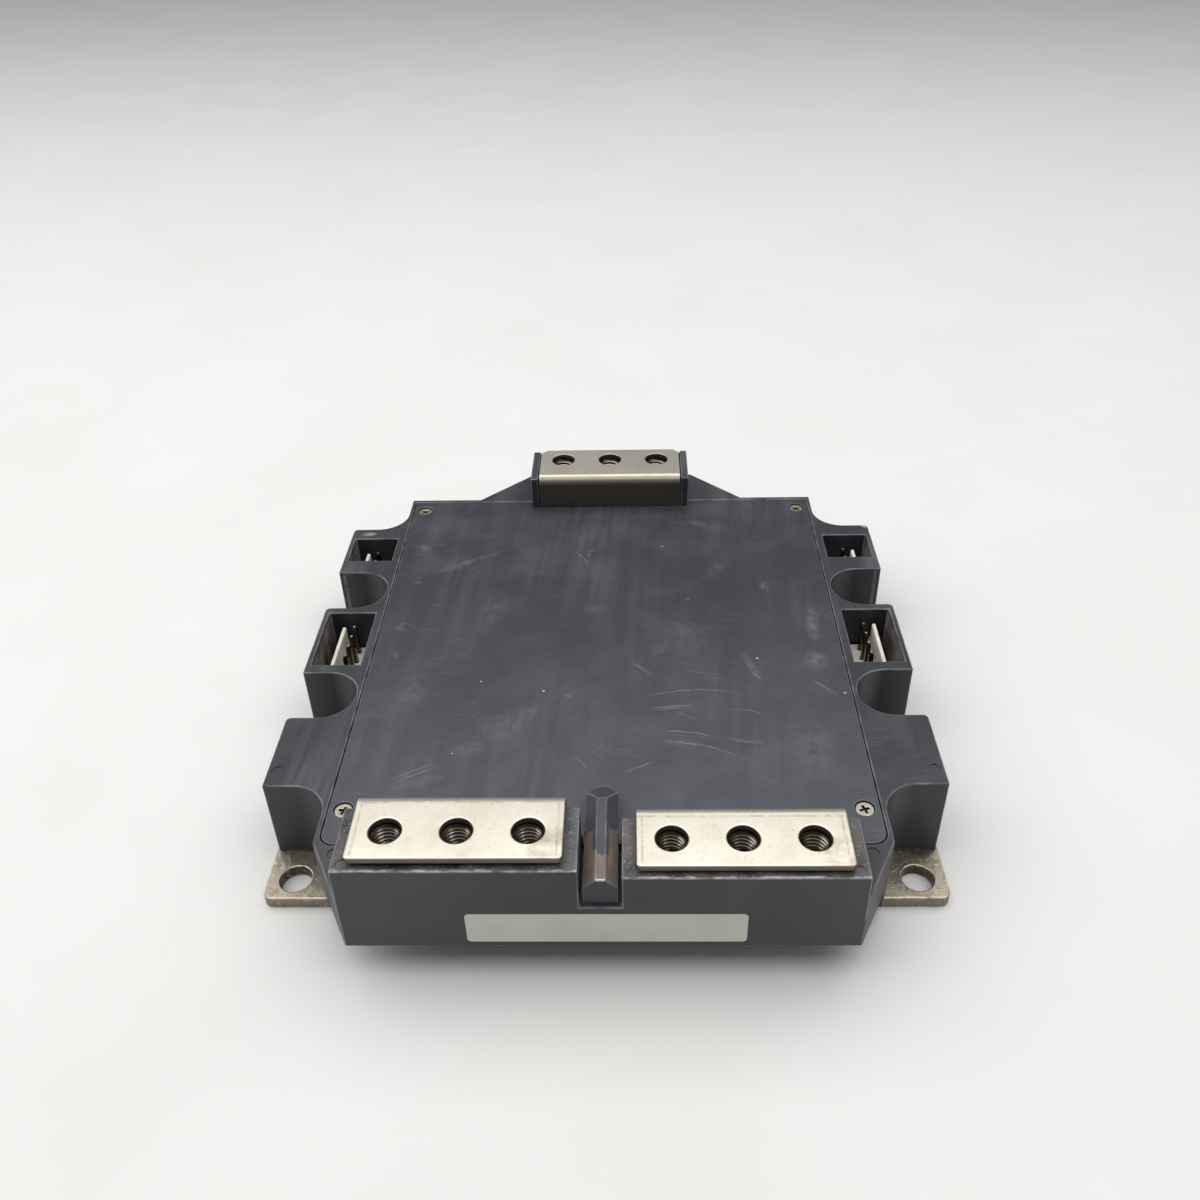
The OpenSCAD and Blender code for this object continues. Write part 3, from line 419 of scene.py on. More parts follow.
def dab(mat, spot, x, y, length, width, turn=0.0, edge=0.3):
    """A soft oval on a face at the lid's height: 1 in its middle, 0 outside it."""
    place = add_node(mat, "Mapping", {"Vector": spot, "Location": (x * MM, y * MM, LID_TOP * MM),
                                      "Rotation": (0, 0, math.radians(turn)),
                                      "Scale": (length / 2 * MM, width / 2 * MM, MM)}, vector_type="TEXTURE")
    far = add_node(mat, "VectorMath", {0: place}, out="Value", operation="LENGTH")
    return add_node(mat, "MapRange", {"Value": far, "From Min": 1, "From Max": edge})


def scratch_bundle(mat, spot, x, y, length, turn, radius, width):
    """Hairlines side by side along a stretch of a circle. The real ones are under
    0.1 mm wide and drawn about 0.2 mm wide so that they show."""
    lean = math.radians(turn)
    centre = ((x + radius * math.sin(lean)) * MM, (y - radius * math.cos(lean)) * MM, LID_TOP * MM)
    far = add_node(mat, "VectorMath", {0: spot, 1: centre}, out="Value", operation="DISTANCE")
    band = add_node(mat, "Math", {0: far, 1: radius * MM, 2: width / 2 * MM}, operation="COMPARE")
    hairs = add_node(mat, "TexNoise", {"W": far, "Scale": 1 / (0.34 * MM), "Detail": 0.0},
                     noise_dimensions="1D")
    hairs = add_node(mat, "MapRange", {"Value": hairs, "From Min": 0.5, "From Max": 0.66})
    along = add_node(mat, "VectorMath", {0: spot, 1: (x * MM, y * MM, LID_TOP * MM)}, out="Value",
                     operation="DISTANCE")
    ends = add_node(mat, "MapRange", {"Value": along, "From Min": length / 2 * MM,
                                      "From Max": length / 6 * MM})
    return within(mat, band, hairs, ends)


def moulded_pbt(name, colour, wipes_and_top_light):
    """Glass-filled PBT from a spark-eroded tool: matt slate black, greyed by handling
    in faint wipes and blotches on what looks up, which also lighten the tops against the sides
    as painted light, with pale rubbed edges. Its third argument is the most that the wipes lie
    over the colour. Gives the material, places on the piece, how far a face looks up, the grain
    and the colour and roughness so far."""
    mat, spot = new_material(name, colour, roughness=0.5, IOR=1.57)
    facing = add_node(mat, "SeparateXYZ", {"Vector": add_node(mat, "TexCoord", out="Normal")}, out="Z")
    up = add_node(mat, "MapRange", {"Value": facing, "From Min": 0.3, "From Max": 0.95})
    # wiped from front to back: bands a few mm wide and several cm long
    wipes = patches(mat, spot, (4, 60, 30), 0.42, 0.72, turn=-4, seed=1, detail=4)
    drift = patches(mat, spot, (34, 40, 30), 0.38, 0.68, seed=2)
    # the wipes lie only on what looks up: handling marks, and painted light that makes the tops lighter than
    # the sides
    now = stain(mat, (*colour, 1), "#85888f", within(mat, wipes, drift, up), wipes_and_top_light)
    # dull blotches of skin grease and dust
    blotch = patches(mat, spot, (16, 12, 14), 0.5, 0.75, turn=20, seed=3, detail=5)
    now = stain(mat, now, "#7e8188", within(mat, blotch, up), 0.12)
    dark = patches(mat, spot, (26, 34, 20), 0.5, 0.75, seed=5)
    now = stain(mat, now, "#17181b", dark, 0.35)
    # grain of the eroded tool, 0.1 mm on the real part and drawn at 0.3 mm to show
    grain = add_node(mat, "TexNoise", {"Vector": spot, "Scale": 1 / (0.3 * MM), "Detail": 2.0})
    flecks = add_node(mat, "MapRange", {"Value": grain, "From Min": 0.4, "From Max": 0.75})
    now = stain(mat, now, "#6f727a", flecks, 0.1)
    worn = add_node(mat, "Attribute", out="Fac", attribute_name="edge_wear")
    broken = patches(mat, spot, (5, 5, 5), 0.28, 0.6, seed=9, detail=4)
    now = stain(mat, now, "#9b9da2", within(mat, worn, broken), 0.45)
    rough = add_node(mat, "MapRange", {"Value": drift, "To Min": 0.44, "To Max": 0.56})
    return mat, spot, up, grain, now, rough


def fine_scratches(mat, spot, up, length, turn, seed, where):
    """Clusters of short fine scratches that run one way, on what looks up. The real
    ones are under 0.1 mm wide and drawn at 0.25 mm so that they show."""
    lines = patches(mat, spot, (length, 0.25, 5), 0.64, 0.7, turn=turn, seed=seed, detail=1)
    cluster = patches(mat, spot, (24, 20, 20), where, where + 0.1, seed=seed + 7)
    return within(mat, lines, cluster, up)


def slot_film(mat, spot):
    """Where old flux lies in the creepage slot: with a ragged rear edge, further back on
    the barrier rib's slopes than on its flat top, and not on what faces forwards."""
    facing = add_node(mat, "SeparateXYZ", {"Vector": add_node(mat, "TexCoord", out="Normal")}, out="Y")
    aside = add_node(mat, "MapRange", {"Value": facing, "From Min": -0.8, "From Max": -0.55})
    stray = add_node(mat, "TexNoise", {"Vector": spot, "Scale": 1 / (1.6 * MM), "Detail": 3.0}, out="Color")
    ragged = add_node(mat, "VectorMath", {0: stray, 1: (0, 6 * MM, 0), 2: spot}, operation="MULTIPLY_ADD")
    ragged = add_node(mat, "VectorMath", {0: ragged, 1: (0, 3 * MM, 0)}, operation="SUBTRACT")
    film = either(mat, [around_box(mat, ragged, (-SLOT_HALF, CASE_FRONT - 3, 23),
                                   (SLOT_HALF, back, top), 0.7)
                        for back, top in SLOT_FILM])
    cloud = patches(mat, spot, (2, 7, 5), 0.1, 0.55, seed=14)
    return within(mat, film, aside, cloud)


def case_finish(colour):
    """Case: stained brown in the creepage slot by old flux and round the terminals
    by hands and washers, rubbed pale along the front edges with a painted highlight on them, painted light on
    the sockets' outer walls, and chipped at one corner."""
    mat, spot, up, grain, now, rough = moulded_pbt("moulded PBT, case", colour, 0.44)
    lines = either(mat, [fine_scratches(mat, spot, up, 6, 12, 21, 0.56),
                         fine_scratches(mat, spot, up, 5, -35, 26, 0.58)])
    now = stain(mat, now, "#8b8d92", lines, 0.22)
    now = stain(mat, now, "#958672", slot_film(mat, spot), 0.25)
    # washers and hands left a mottled film on the nut blocks' tops and pale crumbs of plating
    patchy = patches(mat, spot, (5, 5, 5), 0.3, 0.65, seed=11, detail=4)
    tops = around_box(mat, spot, (-54, CASE_FRONT, 30), (54, -66, 34), 1)
    now = stain(mat, now, "#9c8f78", within(mat, tops, patchy, up), 0.26)
    crumbs = patches(mat, spot, (0.7, 0.7, 0.7), 0.6, 0.7, seed=13, detail=2)
    now = stain(mat, now, "#c3c1ba", within(mat, tops, crumbs, up), 0.3)
    # a painted highlight along the nut blocks' front top edge, with some rubbing there
    edge_highlight_ridge = around_box(mat, spot, (-55, CASE_FRONT, 30.5), (55, CASE_FRONT + 0.45, 34), 0.35)
    smear = patches(mat, spot, (2.5, 1, 1), 0.42, 0.66, seed=16, detail=6)
    now = stain(mat, now, "#d2d3d6", within(mat, edge_highlight_ridge, smear, up), 0.75)
    # painted light: pale brown on the inner faces of the sockets' outer walls, for light from the sides
    # through the openings, over a brownish tint
    for side in (-1, 1):
        ends = sorted(side * x for x in SOCKET_WALL)
        lit_socket_wall = around_box(mat, spot, (ends[0], -12, 12), (ends[1], 46, 22.8), 0.4)
        now = stain(mat, now, "#a89a90", within(mat, lit_socket_wall, patchy), 0.6)
    # a chip at the rear right block's corner and a rub on the rear left block
    now = stain(mat, now, "#d5d3cd", dab(mat, spot, *CORNER_CHIP, edge=0.4), 0.75)
    now = stain(mat, now, "#b5b7b6", within(mat, dab(mat, spot, *BLOCK_RUB), patchy), 0.7)
    feed(mat, now, rough, grain, 0.22, 0.04 * MM)
    return mat


def lid_finish(colour):
    """Lid: scratched and smeared by what has lain on it, with a few pale specks."""
    mat, spot, up, grain, now, rough = moulded_pbt("moulded PBT, lid", colour, 0.19)
    # scratches waver a little
    stray = add_node(mat, "TexNoise", {"Vector": spot, "Scale": 1 / (6 * MM), "Detail": 1.0}, out="Color")
    waver = add_node(mat, "VectorMath", {0: stray, 1: (1.6 * MM, 1.6 * MM, 0), 2: spot},
                     operation="MULTIPLY_ADD")
    waver = add_node(mat, "VectorMath", {0: waver, 1: (0.8 * MM, 0.8 * MM, 0)}, operation="SUBTRACT")
    scored = either(mat, [scratch_bundle(mat, waver, *mark) for mark in LID_SCRATCHES])
    skips = patches(mat, spot, (2.5, 2.5, 2.5), 0.3, 0.6, seed=17, detail=3)
    scored = within(mat, scored, skips)
    # the lid's top is greyed a little towards its front
    along = add_node(mat, "SeparateXYZ", {"Vector": spot}, out="Y")
    towards_front = add_node(mat, "MapRange", {"Value": along, "From Min": 0.02, "From Max": -0.065})
    now = stain(mat, now, "#8c8f98", within(mat, towards_front, up), 0.12)
    fine = either(mat, [fine_scratches(mat, spot, up, 9, -14, 31, 0.53),
                        fine_scratches(mat, spot, up, 7, 4, 34, 0.55),
                        fine_scratches(mat, spot, up, 6, 62, 38, 0.55)])
    broken = patches(mat, spot, (2.4, 2.4, 2.4), 0.32, 0.68, seed=19, detail=5)
    for *smear, strength in LID_SMEARS:
        smeared = within(mat, dab(mat, waver, *smear, edge=0.2), broken)
        now = stain(mat, now, "#a0a2a6", smeared, 0.34 * strength)
    now = stain(mat, now, "#9b9da0", fine, 0.16)
    now = stain(mat, now, "#b4b5b5", scored, 0.42)
    specks = either(mat, [dab(mat, spot, x, y, size, 0.8 * size, 0, 0.6) for x, y, size in LID_SPECKS])
    now = stain(mat, now, "#e2e0d8", specks, 0.75)
    now = stain(mat, now, "#958672", slot_film(mat, spot), 0.6)
    # a painted glint: a small bright spot at the front end of the barrier rib's top
    painted_rib_glint = around_box(mat, spot, (-0.8, CASE_FRONT + 0.8, 28.8), (0.9, CASE_FRONT + 1.1, 29.3), 0.15)
    now = stain(mat, now, "#dcdcdc", painted_rib_glint, 0.8)
    depth = add_node(mat, "Math", {0: grain, 1: within(mat, scored, 1.2)}, operation="SUBTRACT")
    feed(mat, now, rough, depth, 0.22, 0.04 * MM)
    return mat


def plated_nickel(name, colour, grime):
    """Matt nickel plate on copper sheet: warm grey metal with the sheet's rolling
    lines under it, dulled and browned by grime where hands and washers miss it.
    Gives the material, places on the piece and the colour, roughness and relief so far."""
    mat, spot = new_material(name, colour, metallic=1.0, roughness=0.36)
    cloud = patches(mat, spot, (16, 16, 16), 0.3, 0.75, seed=1, detail=5)
    now = stain(mat, (*colour, 1), "#c4baa5", cloud, 0.25)
    film = patches(mat, spot, (7, 7, 7), 0.5, 0.8, seed=6, detail=6)
    now = stain(mat, now, "#7d705a", film, 0.6 * grime)
    pits = patches(mat, spot, (0.7, 0.7, 0.7), 0.63, 0.7, seed=4, detail=2)
    now = stain(mat, now, "#4b4234", pits, 0.6 * grime)
    # rolling lines: 0.05 mm on real sheet, drawn 0.15 mm wide and 12 mm long
    rolled = patches(mat, spot, (12, 0.15, 12), 0.2, 0.8, seed=2, detail=2)
    rough = add_node(mat, "MapRange", {"Value": cloud, "To Min": 0.3, "To Max": 0.42})
    rough = add_node(mat, "Math", {0: film, 1: 0.25 * grime, 2: rough}, operation="MULTIPLY_ADD")
    scratch = patches(mat, spot, (8, 0.2, 8), 0.66, 0.7, turn=35, seed=5, detail=1)
    relief = add_node(mat, "Math", {0: rolled, 1: scratch}, operation="SUBTRACT")
    return mat, spot, now, rough, relief


def plate_finish(colour):
    """Base plate: where it shows past the case it is browned and scraped back to
    bright metal by washers and by knocks on its edges."""
    mat, spot, now, rough, relief = plated_nickel("nickel plate on copper, grimy", colour, 1.0)
    brown = patches(mat, spot, (6, 6, 6), 0.42, 0.66, seed=12, detail=5)
    now = stain(mat, now, "#776a55", brown, 0.5)
    facing = add_node(mat, "SeparateXYZ", {"Vector": add_node(mat, "TexCoord", out="Normal")}, out="Z")
    side = add_node(mat, "MapRange", {"Value": facing, "From Min": 0.6, "From Max": 0.1})
    now = stain(mat, now, "#665a49", side, 0.6)
    # painted shade: the walls of the plate's holes are painted dark brown, with grime
    low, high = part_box("base_plate")
    painted_hole_shade = around_box(mat, spot, [c / MM + 0.5 for c in low[:2]] + [-1],
                       [c / MM - 0.5 for c in high[:2]] + [4], 0.2)
    now = stain(mat, now, "#3a3126", within(mat, painted_hole_shade, side), 0.75)
    bare = patches(mat, spot, (0.9, 1.8, 1.2), 0.5, 0.64, turn=25, seed=18, detail=5)
    now = stain(mat, now, "#e9e3d3", within(mat, bare, brown), 0.55)
    cuts = patches(mat, spot, (0.4, 2, 1), 0.6, 0.68, turn=-30, seed=20, detail=3)
    now = stain(mat, now, "#51473a", cuts, 0.5)
    worn = add_node(mat, "Attribute", out="Fac", attribute_name="edge_wear")
    knocks = patches(mat, spot, (2.5, 2.5, 2.5), 0.36, 0.56, seed=8, detail=4)
    now = stain(mat, now, "#e4ddcc", within(mat, worn, knocks), 0.55)
    scarred = add_node(mat, "Math", {0: bare, 1: cuts}, operation="SUBTRACT")
    scarred = add_node(mat, "Math", {0: scarred, 1: 1.5, 2: relief}, operation="MULTIPLY_ADD")
    feed(mat, now, rough, scarred, 0.35, 0.05 * MM)
    return mat


def terminal_finish(colour):
    """Terminals: bright tops with pressed rim lines; sheared sides and legs dull brown from grime
    and painted shade; painted shade on the rear terminal's bend; and a painted dark line where the
    front tops turn down into their legs, a painted gap in the bend's reflection."""
    mat, spot, now, rough, relief = plated_nickel("nickel plate on copper, terminals", colour, 0.4)
    facing = add_node(mat, "SeparateXYZ", {"Vector": add_node(mat, "TexCoord", out="Normal")}, out="Z")
    side = add_node(mat, "MapRange", {"Value": facing, "From Min": 0.62, "From Max": 0.2})
    # painted shade on the rear terminal's bend where it turns down to the lid, in a tarnish brown: it tones
    # down the bend's highlight
    low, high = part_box("terminal_rear")
    rear = around_box(mat, spot, (low[0] / MM, 40, 24), (high[0] / MM, high[1] / MM, 36), 1)
    bend = add_node(mat, "MapRange", {"Value": facing, "From Min": 0.99, "From Max": 0.86})
    now = stain(mat, now, "#655b4b", within(mat, rear, bend), 0.8)
    # the sides and legs are painted dull brown: cut copper with grime, and painted shade for the dark gap
    # under the front edges and for the legs that face away from the light
    now = stain(mat, now, "#67605a", side, 0.93)
    broken = patches(mat, spot, (1.5, 1.5, 1.5), 0.32, 0.6, seed=15, detail=5)
    smut = patches(mat, spot, (5, 3, 4), 0.42, 0.62, seed=22, detail=5)
    for node, inset in BEND_SHADE_INSETS.items():
        low, high = [[c / MM for c in corner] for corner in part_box(node)]
        low[0] = high[0] - TERMINAL_WIDTH  # the node's box also holds the busbar below
        top = high[2]
        # a painted dark line in front of the bend, a painted gap in the bend's reflection, and the lines that
        # the press leaves just inside each end
        lines = [((low[0], low[1] + inset), (high[0], low[1] + inset + 0.3))]
        lines += [((x, low[1] + 1), (x + 0.2, low[1] + inset)) for x in (low[0] + 1.1, high[0] - 1.3)]
        for (x0, y0), (x1, y1) in lines:
            line = around_box(mat, spot, (x0, y0, top - 1), (x1, y1, top + 1), 0.25)
            now = stain(mat, now, "#9c8f78", within(mat, line, broken), 0.45)
        # fingered dirt at the end that is gripped
        corner = around_box(mat, spot, (high[0] - 5, low[1], top - 1), (high[0], low[1] + 6, top + 1), 2)
        now = stain(mat, now, "#93815f", within(mat, corner, smut), 0.5)
    rough = add_node(mat, "Math", {0: side, 1: 0.2, 2: rough}, operation="MULTIPLY_ADD")
    feed(mat, now, rough, relief, 0.22, 0.03 * MM)
    return mat


def thread_metal():
    """Zinc-plated steel nuts, dark with old grease: the thread's crests are painted pale, painted
    glints that fade down the flanks to painted shade at the roots, so that the turns show as bright lines;
    the crests are also less rough, smoothed by bolts."""
    body = linear("#4d4338")
    mat, spot = new_material("zinc-plated steel, nuts", body, metallic=1.0, roughness=0.26)
    crest = add_node(mat, "Attribute", out="Fac", attribute_name="thread_crest")
    crest_glint_and_polish = add_node(mat, "MapRange", {"Value": crest, "From Min": 0.55, "From Max": 0.95})
    grease = patches(mat, spot, (2.2, 2.2, 2.2), 0.4, 0.7, seed=1, detail=4)
    now = stain(mat, (*body, 1), "#2c251c", grease, 0.6)
    # painted glints on the crests, fading to painted shade at the roots
    now = stain(mat, now, "#d9d0bd", crest_glint_and_polish, 0.65)
    rough = add_node(mat, "MapRange", {"Value": crest_glint_and_polish, "To Min": 0.3, "To Max": 0.16})
    fine = add_node(mat, "TexNoise", {"Vector": spot, "Scale": 1 / (0.2 * MM), "Detail": 2.0})
    feed(mat, now, rough, fine, 0.1, 0.02 * MM)
    return mat


def machined_metal(name, colour, roughness, dirt, below=None, above=None):
    """Bare or thinly plated metal: an even colour with a fine grain and a little dirt.
    Under one height, in mm, the colour goes dark, painted shade in a recess with a little dirt;
    over another it goes pale, a painted highlight."""
    mat, spot = new_material(name, colour, metallic=1.0, roughness=roughness)
    stained = patches(mat, spot, (2.2, 2.2, 2.2), 0.45, 0.75, seed=1, detail=4)
    now = stain(mat, (*colour, 1), "#4a4032", stained, dirt)
    height = add_node(mat, "SeparateXYZ", {"Vector": spot}, out="Z")
    if below is not None:
        # painted shade with some dirt: darker under this height, in the cross recess and on the head's side
        painted_recess_shade = add_node(mat, "MapRange", {"Value": height, "From Min": below * MM,
                                          "From Max": (below - 0.25) * MM})
        now = stain(mat, now, "#1d1a14", painted_recess_shade, 0.85)
    if above is not None:
        # painted highlight: paler over this height, for the light on the pins' ends
        painted_tip_highlight = add_node(mat, "MapRange", {"Value": height, "From Min": (above - 0.15) * MM,
                                          "From Max": above * MM})
        now = stain(mat, now, "#efeae0", painted_tip_highlight, 0.9)
    rough = add_node(mat, "MapRange", {"Value": stained, "To Min": roughness - 0.06,
                                       "To Max": roughness + 0.14})
    fine = add_node(mat, "TexNoise", {"Vector": spot, "Scale": 1 / (0.2 * MM), "Detail": 2.0})
    feed(mat, now, rough, fine, 0.15, 0.02 * MM)
    return mat


def soft_solid(name, colour, code, roughness, size, share, depth, **sockets):
    """Cast, cured or sintered material: a body colour broken up by a second one
    in patches of a real size, with a faint surface of the same grain."""
    mat, spot = new_material(name, colour, roughness=roughness, **sockets)
    cloud = patches(mat, spot, (size, size, size), 0.35, 0.7, seed=2, detail=4)
    now = stain(mat, (*colour, 1), code, cloud, share)
    rough = add_node(mat, "MapRange", {"Value": cloud, "To Min": roughness - 0.05,
                                       "To Max": roughness + 0.08})
    fine = add_node(mat, "TexNoise", {"Vector": spot, "Scale": 1 / (0.3 * MM), "Detail": 2.0})
    feed(mat, now, rough, fine, 0.2, depth * MM)
    return mat


# ---- pieces ----


class MODULE_OT_case(bpy.types.Operator):
    """Moulded case with its scallops, sockets and nut blocks"""
    bl_idname = "power_module.case"
    bl_label = "Case"

    def execute(self, context):
        sizes, colours = context.scene.module_sizes, context.scene.module_colours
        bm = merged_copy("case_frame")
        break_edges(bm, sizes.mould_edge)
        finish_piece("case_moulding", bm, case_finish(colours.case), ["case_frame"])
        return {"FINISHED"}


class MODULE_OT_lid(bpy.types.Operator):
    """Lid with its barrier rib"""
    bl_idname = "power_module.lid"
    bl_label = "Lid"

    def execute(self, context):
        sizes, colours = context.scene.module_sizes, context.scene.module_colours
        bm = merged_copy("lid")
        break_edges(bm, 0.6 * sizes.mould_edge)
        finish_piece("lid_moulding", bm, lid_finish(colours.lid), ["lid"])
        return {"FINISHED"}


class MODULE_OT_base_plate(bpy.types.Operator):
    """Nickel-plated copper base plate"""
    bl_idname = "power_module.base_plate"
    bl_label = "Base plate"

    def execute(self, context):
        sizes, colours = context.scene.module_sizes, context.scene.module_colours
        bm = merged_copy("base_plate")
        break_edges(bm, sizes.plate_edge)
        finish_piece("base_plate_dressed", bm, plate_finish(colours.plate), ["base_plate"])
        return {"FINISHED"}


class MODULE_OT_terminals(bpy.types.Operator):
    """Three bent busbar terminals"""
    bl_idname = "power_module.terminals"
    bl_label = "Terminals"

    def execute(self, context):
        sizes, colours = context.scene.module_sizes, context.scene.module_colours
        finish = terminal_finish(colours.nickel)
        for side in ("front_left", "front_right", "rear"):
            bm = merged_copy("terminal_" + side)
            break_edges(bm, sizes.sheet_edge)
            finish_piece(f"busbar_{side}", bm, finish, ["terminal_" + side])
        return {"FINISHED"}


def hexagon_lean(turn):
    """Angle from the nearest flat's middle, for a hexagon with a flat at angle 0."""
    return (turn + math.pi / 6) % (math.pi / 3) - math.pi / 6


class MODULE_OT_nuts(bpy.types.Operator):
    """Captive nuts with a cut thread"""
    bl_idname = "power_module.nuts"
    bl_label = "Captive nuts"

    def nut(self, bm, centre, low, high, flats, crest, pitch, depth):
        """One threaded hexagon between two heights about an upright axis."""
        part = bmesh.new()
        turns = math.ceil((high - low) / pitch) + 4
        heights = [low + (k / 2 - 2) * pitch for k in range(2 * turns + 1)]
        chain = []
        for k, z in enumerate(heights):
            if k % 2:
                chain.append(part.verts.new((crest + depth, 0, z)))
            else:
                chain.append(part.verts.new((crest, 0, z - pitch / CREST_SHARE)))
                chain.append(part.verts.new((crest, 0, z + pitch / CREST_SHARE)))
        tooth = [part.edges.new(pair) for pair in zip(chain, chain[1:])]
        bmesh.ops.spin(part, geom=tooth + chain, cent=(0, 0, 0), axis=(0, 0, 1),
                       dvec=(0, 0, pitch / TURN_STEPS), angle=math.tau, steps=TURN_STEPS)
        bmesh.ops.remove_doubles(part, verts=part.verts, dist=0.004 * MM)
        mouth = crest + depth + COUNTERSINK_LIP
        rims = []
        for face_z, away in ((low, -1), (high, 1)):
            cut_z = face_z - away * COUNTERSINK_DEPTH
            bmesh.ops.bisect_plane(part, geom=part.verts[:] + part.edges[:] + part.faces[:], dist=1e-7,
                                   plane_co=(0, 0, cut_z), plane_no=(0, 0, away), clear_outer=True)
            rim = [e for e in part.edges
                   if e.is_boundary and all(abs(v.co.z - cut_z) < 1e-6 for v in e.verts)]
            # countersink out to the mouth, then the flat face out to the hexagon
            for outline in (lambda turn: mouth, lambda turn: flats / 2 / math.cos(hexagon_lean(turn))):
                grown = bmesh.ops.extrude_edge_only(part, edges=rim)["geom"]
                rim = [g for g in grown if isinstance(g, bmesh.types.BMEdge)]
                for vert in {v for e in rim for v in e.verts}:
                    turn = math.atan2(vert.co.y, vert.co.x)
                    size = outline(turn)
                    vert.co = (size * math.cos(turn), size * math.sin(turn), face_z)
            rims += rim
        bmesh.ops.bridge_loops(part, edges=rims)
        bmesh.ops.recalc_face_normals(part, faces=part.faces)
        bmesh.ops.translate(part, verts=part.verts, vec=(centre[0], centre[1], 0))
        hold = bpy.data.meshes.new("nut")
        part.to_mesh(hold)
        part.free()
        bm.from_mesh(hold)
        bpy.data.meshes.remove(hold)

    def execute(self, context):
        sizes = context.scene.module_sizes
        finish = thread_metal()
        for side in ("front_left", "front_right", "rear"):
            low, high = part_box("nuts_" + side)
            bolts = MOUNTS[f"terminal_{side}_bolts"]
            span = bolts["dims"]["spacing_x_mm"] * MM / 2
            flats = high[0] - low[0] - 2 * span
            middles = [(bolts["pos_m"][0] + step * span, bolts["pos_m"][1]) for step in (-1, 0, 1)]
            bm = bmesh.new()
            for middle in middles:
                self.nut(bm, middle, low[2], high[2], flats, THREAD_CREST, sizes.thread_pitch,
                         sizes.thread_depth)
            crest = bm.verts.layers.float.new("thread_crest")
            for vert in bm.verts:
                off = min(math.dist(vert.co.xy, middle) for middle in middles)
                vert[crest] = off < THREAD_CREST + 0.01 * MM
            finish_piece(f"threaded_nuts_{side}", bm, finish, ["nuts_" + side], smooth=25)
        return {"FINISHED"}


class MODULE_OT_screws(bpy.types.Operator):
    """Lid screws with painted shade and some dirt in their cross recess"""
    bl_idname = "power_module.screws"
    bl_label = "Lid screws"

    def execute(self, context):
        finish = machined_metal("yellow-passivated zinc, screws", linear("#c9c3ae"), 0.3, 0.3,
                                below=HEAD_TOP - 0.1)
        bm = merged_copy("lid_screws")
        break_edges(bm, 0.12 * MM)
        finish_piece("cross_recess_screws", bm, finish, ["lid_screws"])
        return {"FINISHED"}


class MODULE_OT_sockets(bpy.types.Operator):
    """Nylon headers and their tinned pins in the four signal sockets"""
    bl_idname = "power_module.sockets"
    bl_label = "Signal sockets"

    def execute(self, context):
        sizes, colours = context.scene.module_sizes, context.scene.module_colours
        # unfilled nylon, yellowed by heat, that lets a little light in
        nylon = soft_solid("natural nylon 66, headers", colours.nylon, "#9a7f62", 0.4, 3.5, 0.42, 0.03,
                           IOR=1.53, Subsurface_Weight=0.2, Subsurface_Radius=(1.0, 0.8, 0.5),
                           Subsurface_Scale=0.8 * MM)
        # the pins' body colour is dark from tarnish and from painted shade in the deep sockets, and their
        # ends get a painted highlight
        tin = machined_metal("tarnished tin plate in painted shade, pins", linear("#564a3e"), 0.3, 0.6, above=PIN_TOP)
        for row in ("mid", "rear"):
            for side in ("left", "right"):
                bm = merged_copy(f"header_{row}_{side}")
                break_edges(bm, sizes.header_edge)
                finish_piece(f"nylon_header_{row}_{side}", bm, nylon,
                             [f"header_{row}_{side}"])
                dress(f"pins_{row}_{side}", tin)
        return {"FINISHED"}


class MODULE_OT_label(bpy.types.Operator):
    """Bare label on the front face"""
    bl_idname = "power_module.label"
    bl_label = "Label"

    def execute(self, context):
        film = soft_solid("polyester film, label", context.scene.module_colours.label, "#a8a494", 0.42, 9,
                          0.35, 0.01, IOR=1.6)
        dress("label", film)
        return {"FINISHED"}


class MODULE_OT_power_stage(bpy.types.Operator):
    """Finishes of the pieces inside the case"""
    bl_idname = "power_module.power_stage"
    bl_label = "Power stage"

    def execute(self, context):
        copper = machined_metal("bare copper, etched tracks", linear("#c07a52"), 0.38, 0.3)
        finishes = {
            "case_seal": soft_solid("cured silicone, seal", linear("#8b8578"), "#6d675b", 0.5, 4, 0.5, 0.04,
                                    IOR=1.41),
            "substrate_solder": machined_metal("tin-silver solder", linear("#a9a9a6"), 0.42, 0.25),
            "substrate_copper_bottom": copper, "copper_collector": copper, "copper_emitter": copper,
            "copper_gate": copper,
            "substrate_ceramic": soft_solid("sintered aluminium nitride", linear("#dcd8cc"), "#c2bdae",
                                            0.6, 2, 0.3, 0.02, IOR=1.75),
            "igbt_chips": machined_metal("aluminium metallisation on silicon", linear("#a7adb8"), 0.25, 0.15),
            "diode_chips": machined_metal("aluminium metallisation on diodes", linear("#9a9ea6"), 0.25, 0.15),
            "bond_wires": machined_metal("drawn aluminium wire", linear("#c9cbd0"), 0.3, 0.1),
            "gate_wires": machined_metal("drawn aluminium wire, fine", linear("#c9cbd0"), 0.3, 0.1),
            "gel": soft_solid("silicone gel", linear("#cfd8d6"), "#bcc8c6", 0.12, 12, 0.3, 0.02, IOR=1.41,
                              Transmission_Weight=0.85),
        }
        for node, finish in finishes.items():
            dress(node, finish)
        return {"FINISHED"}


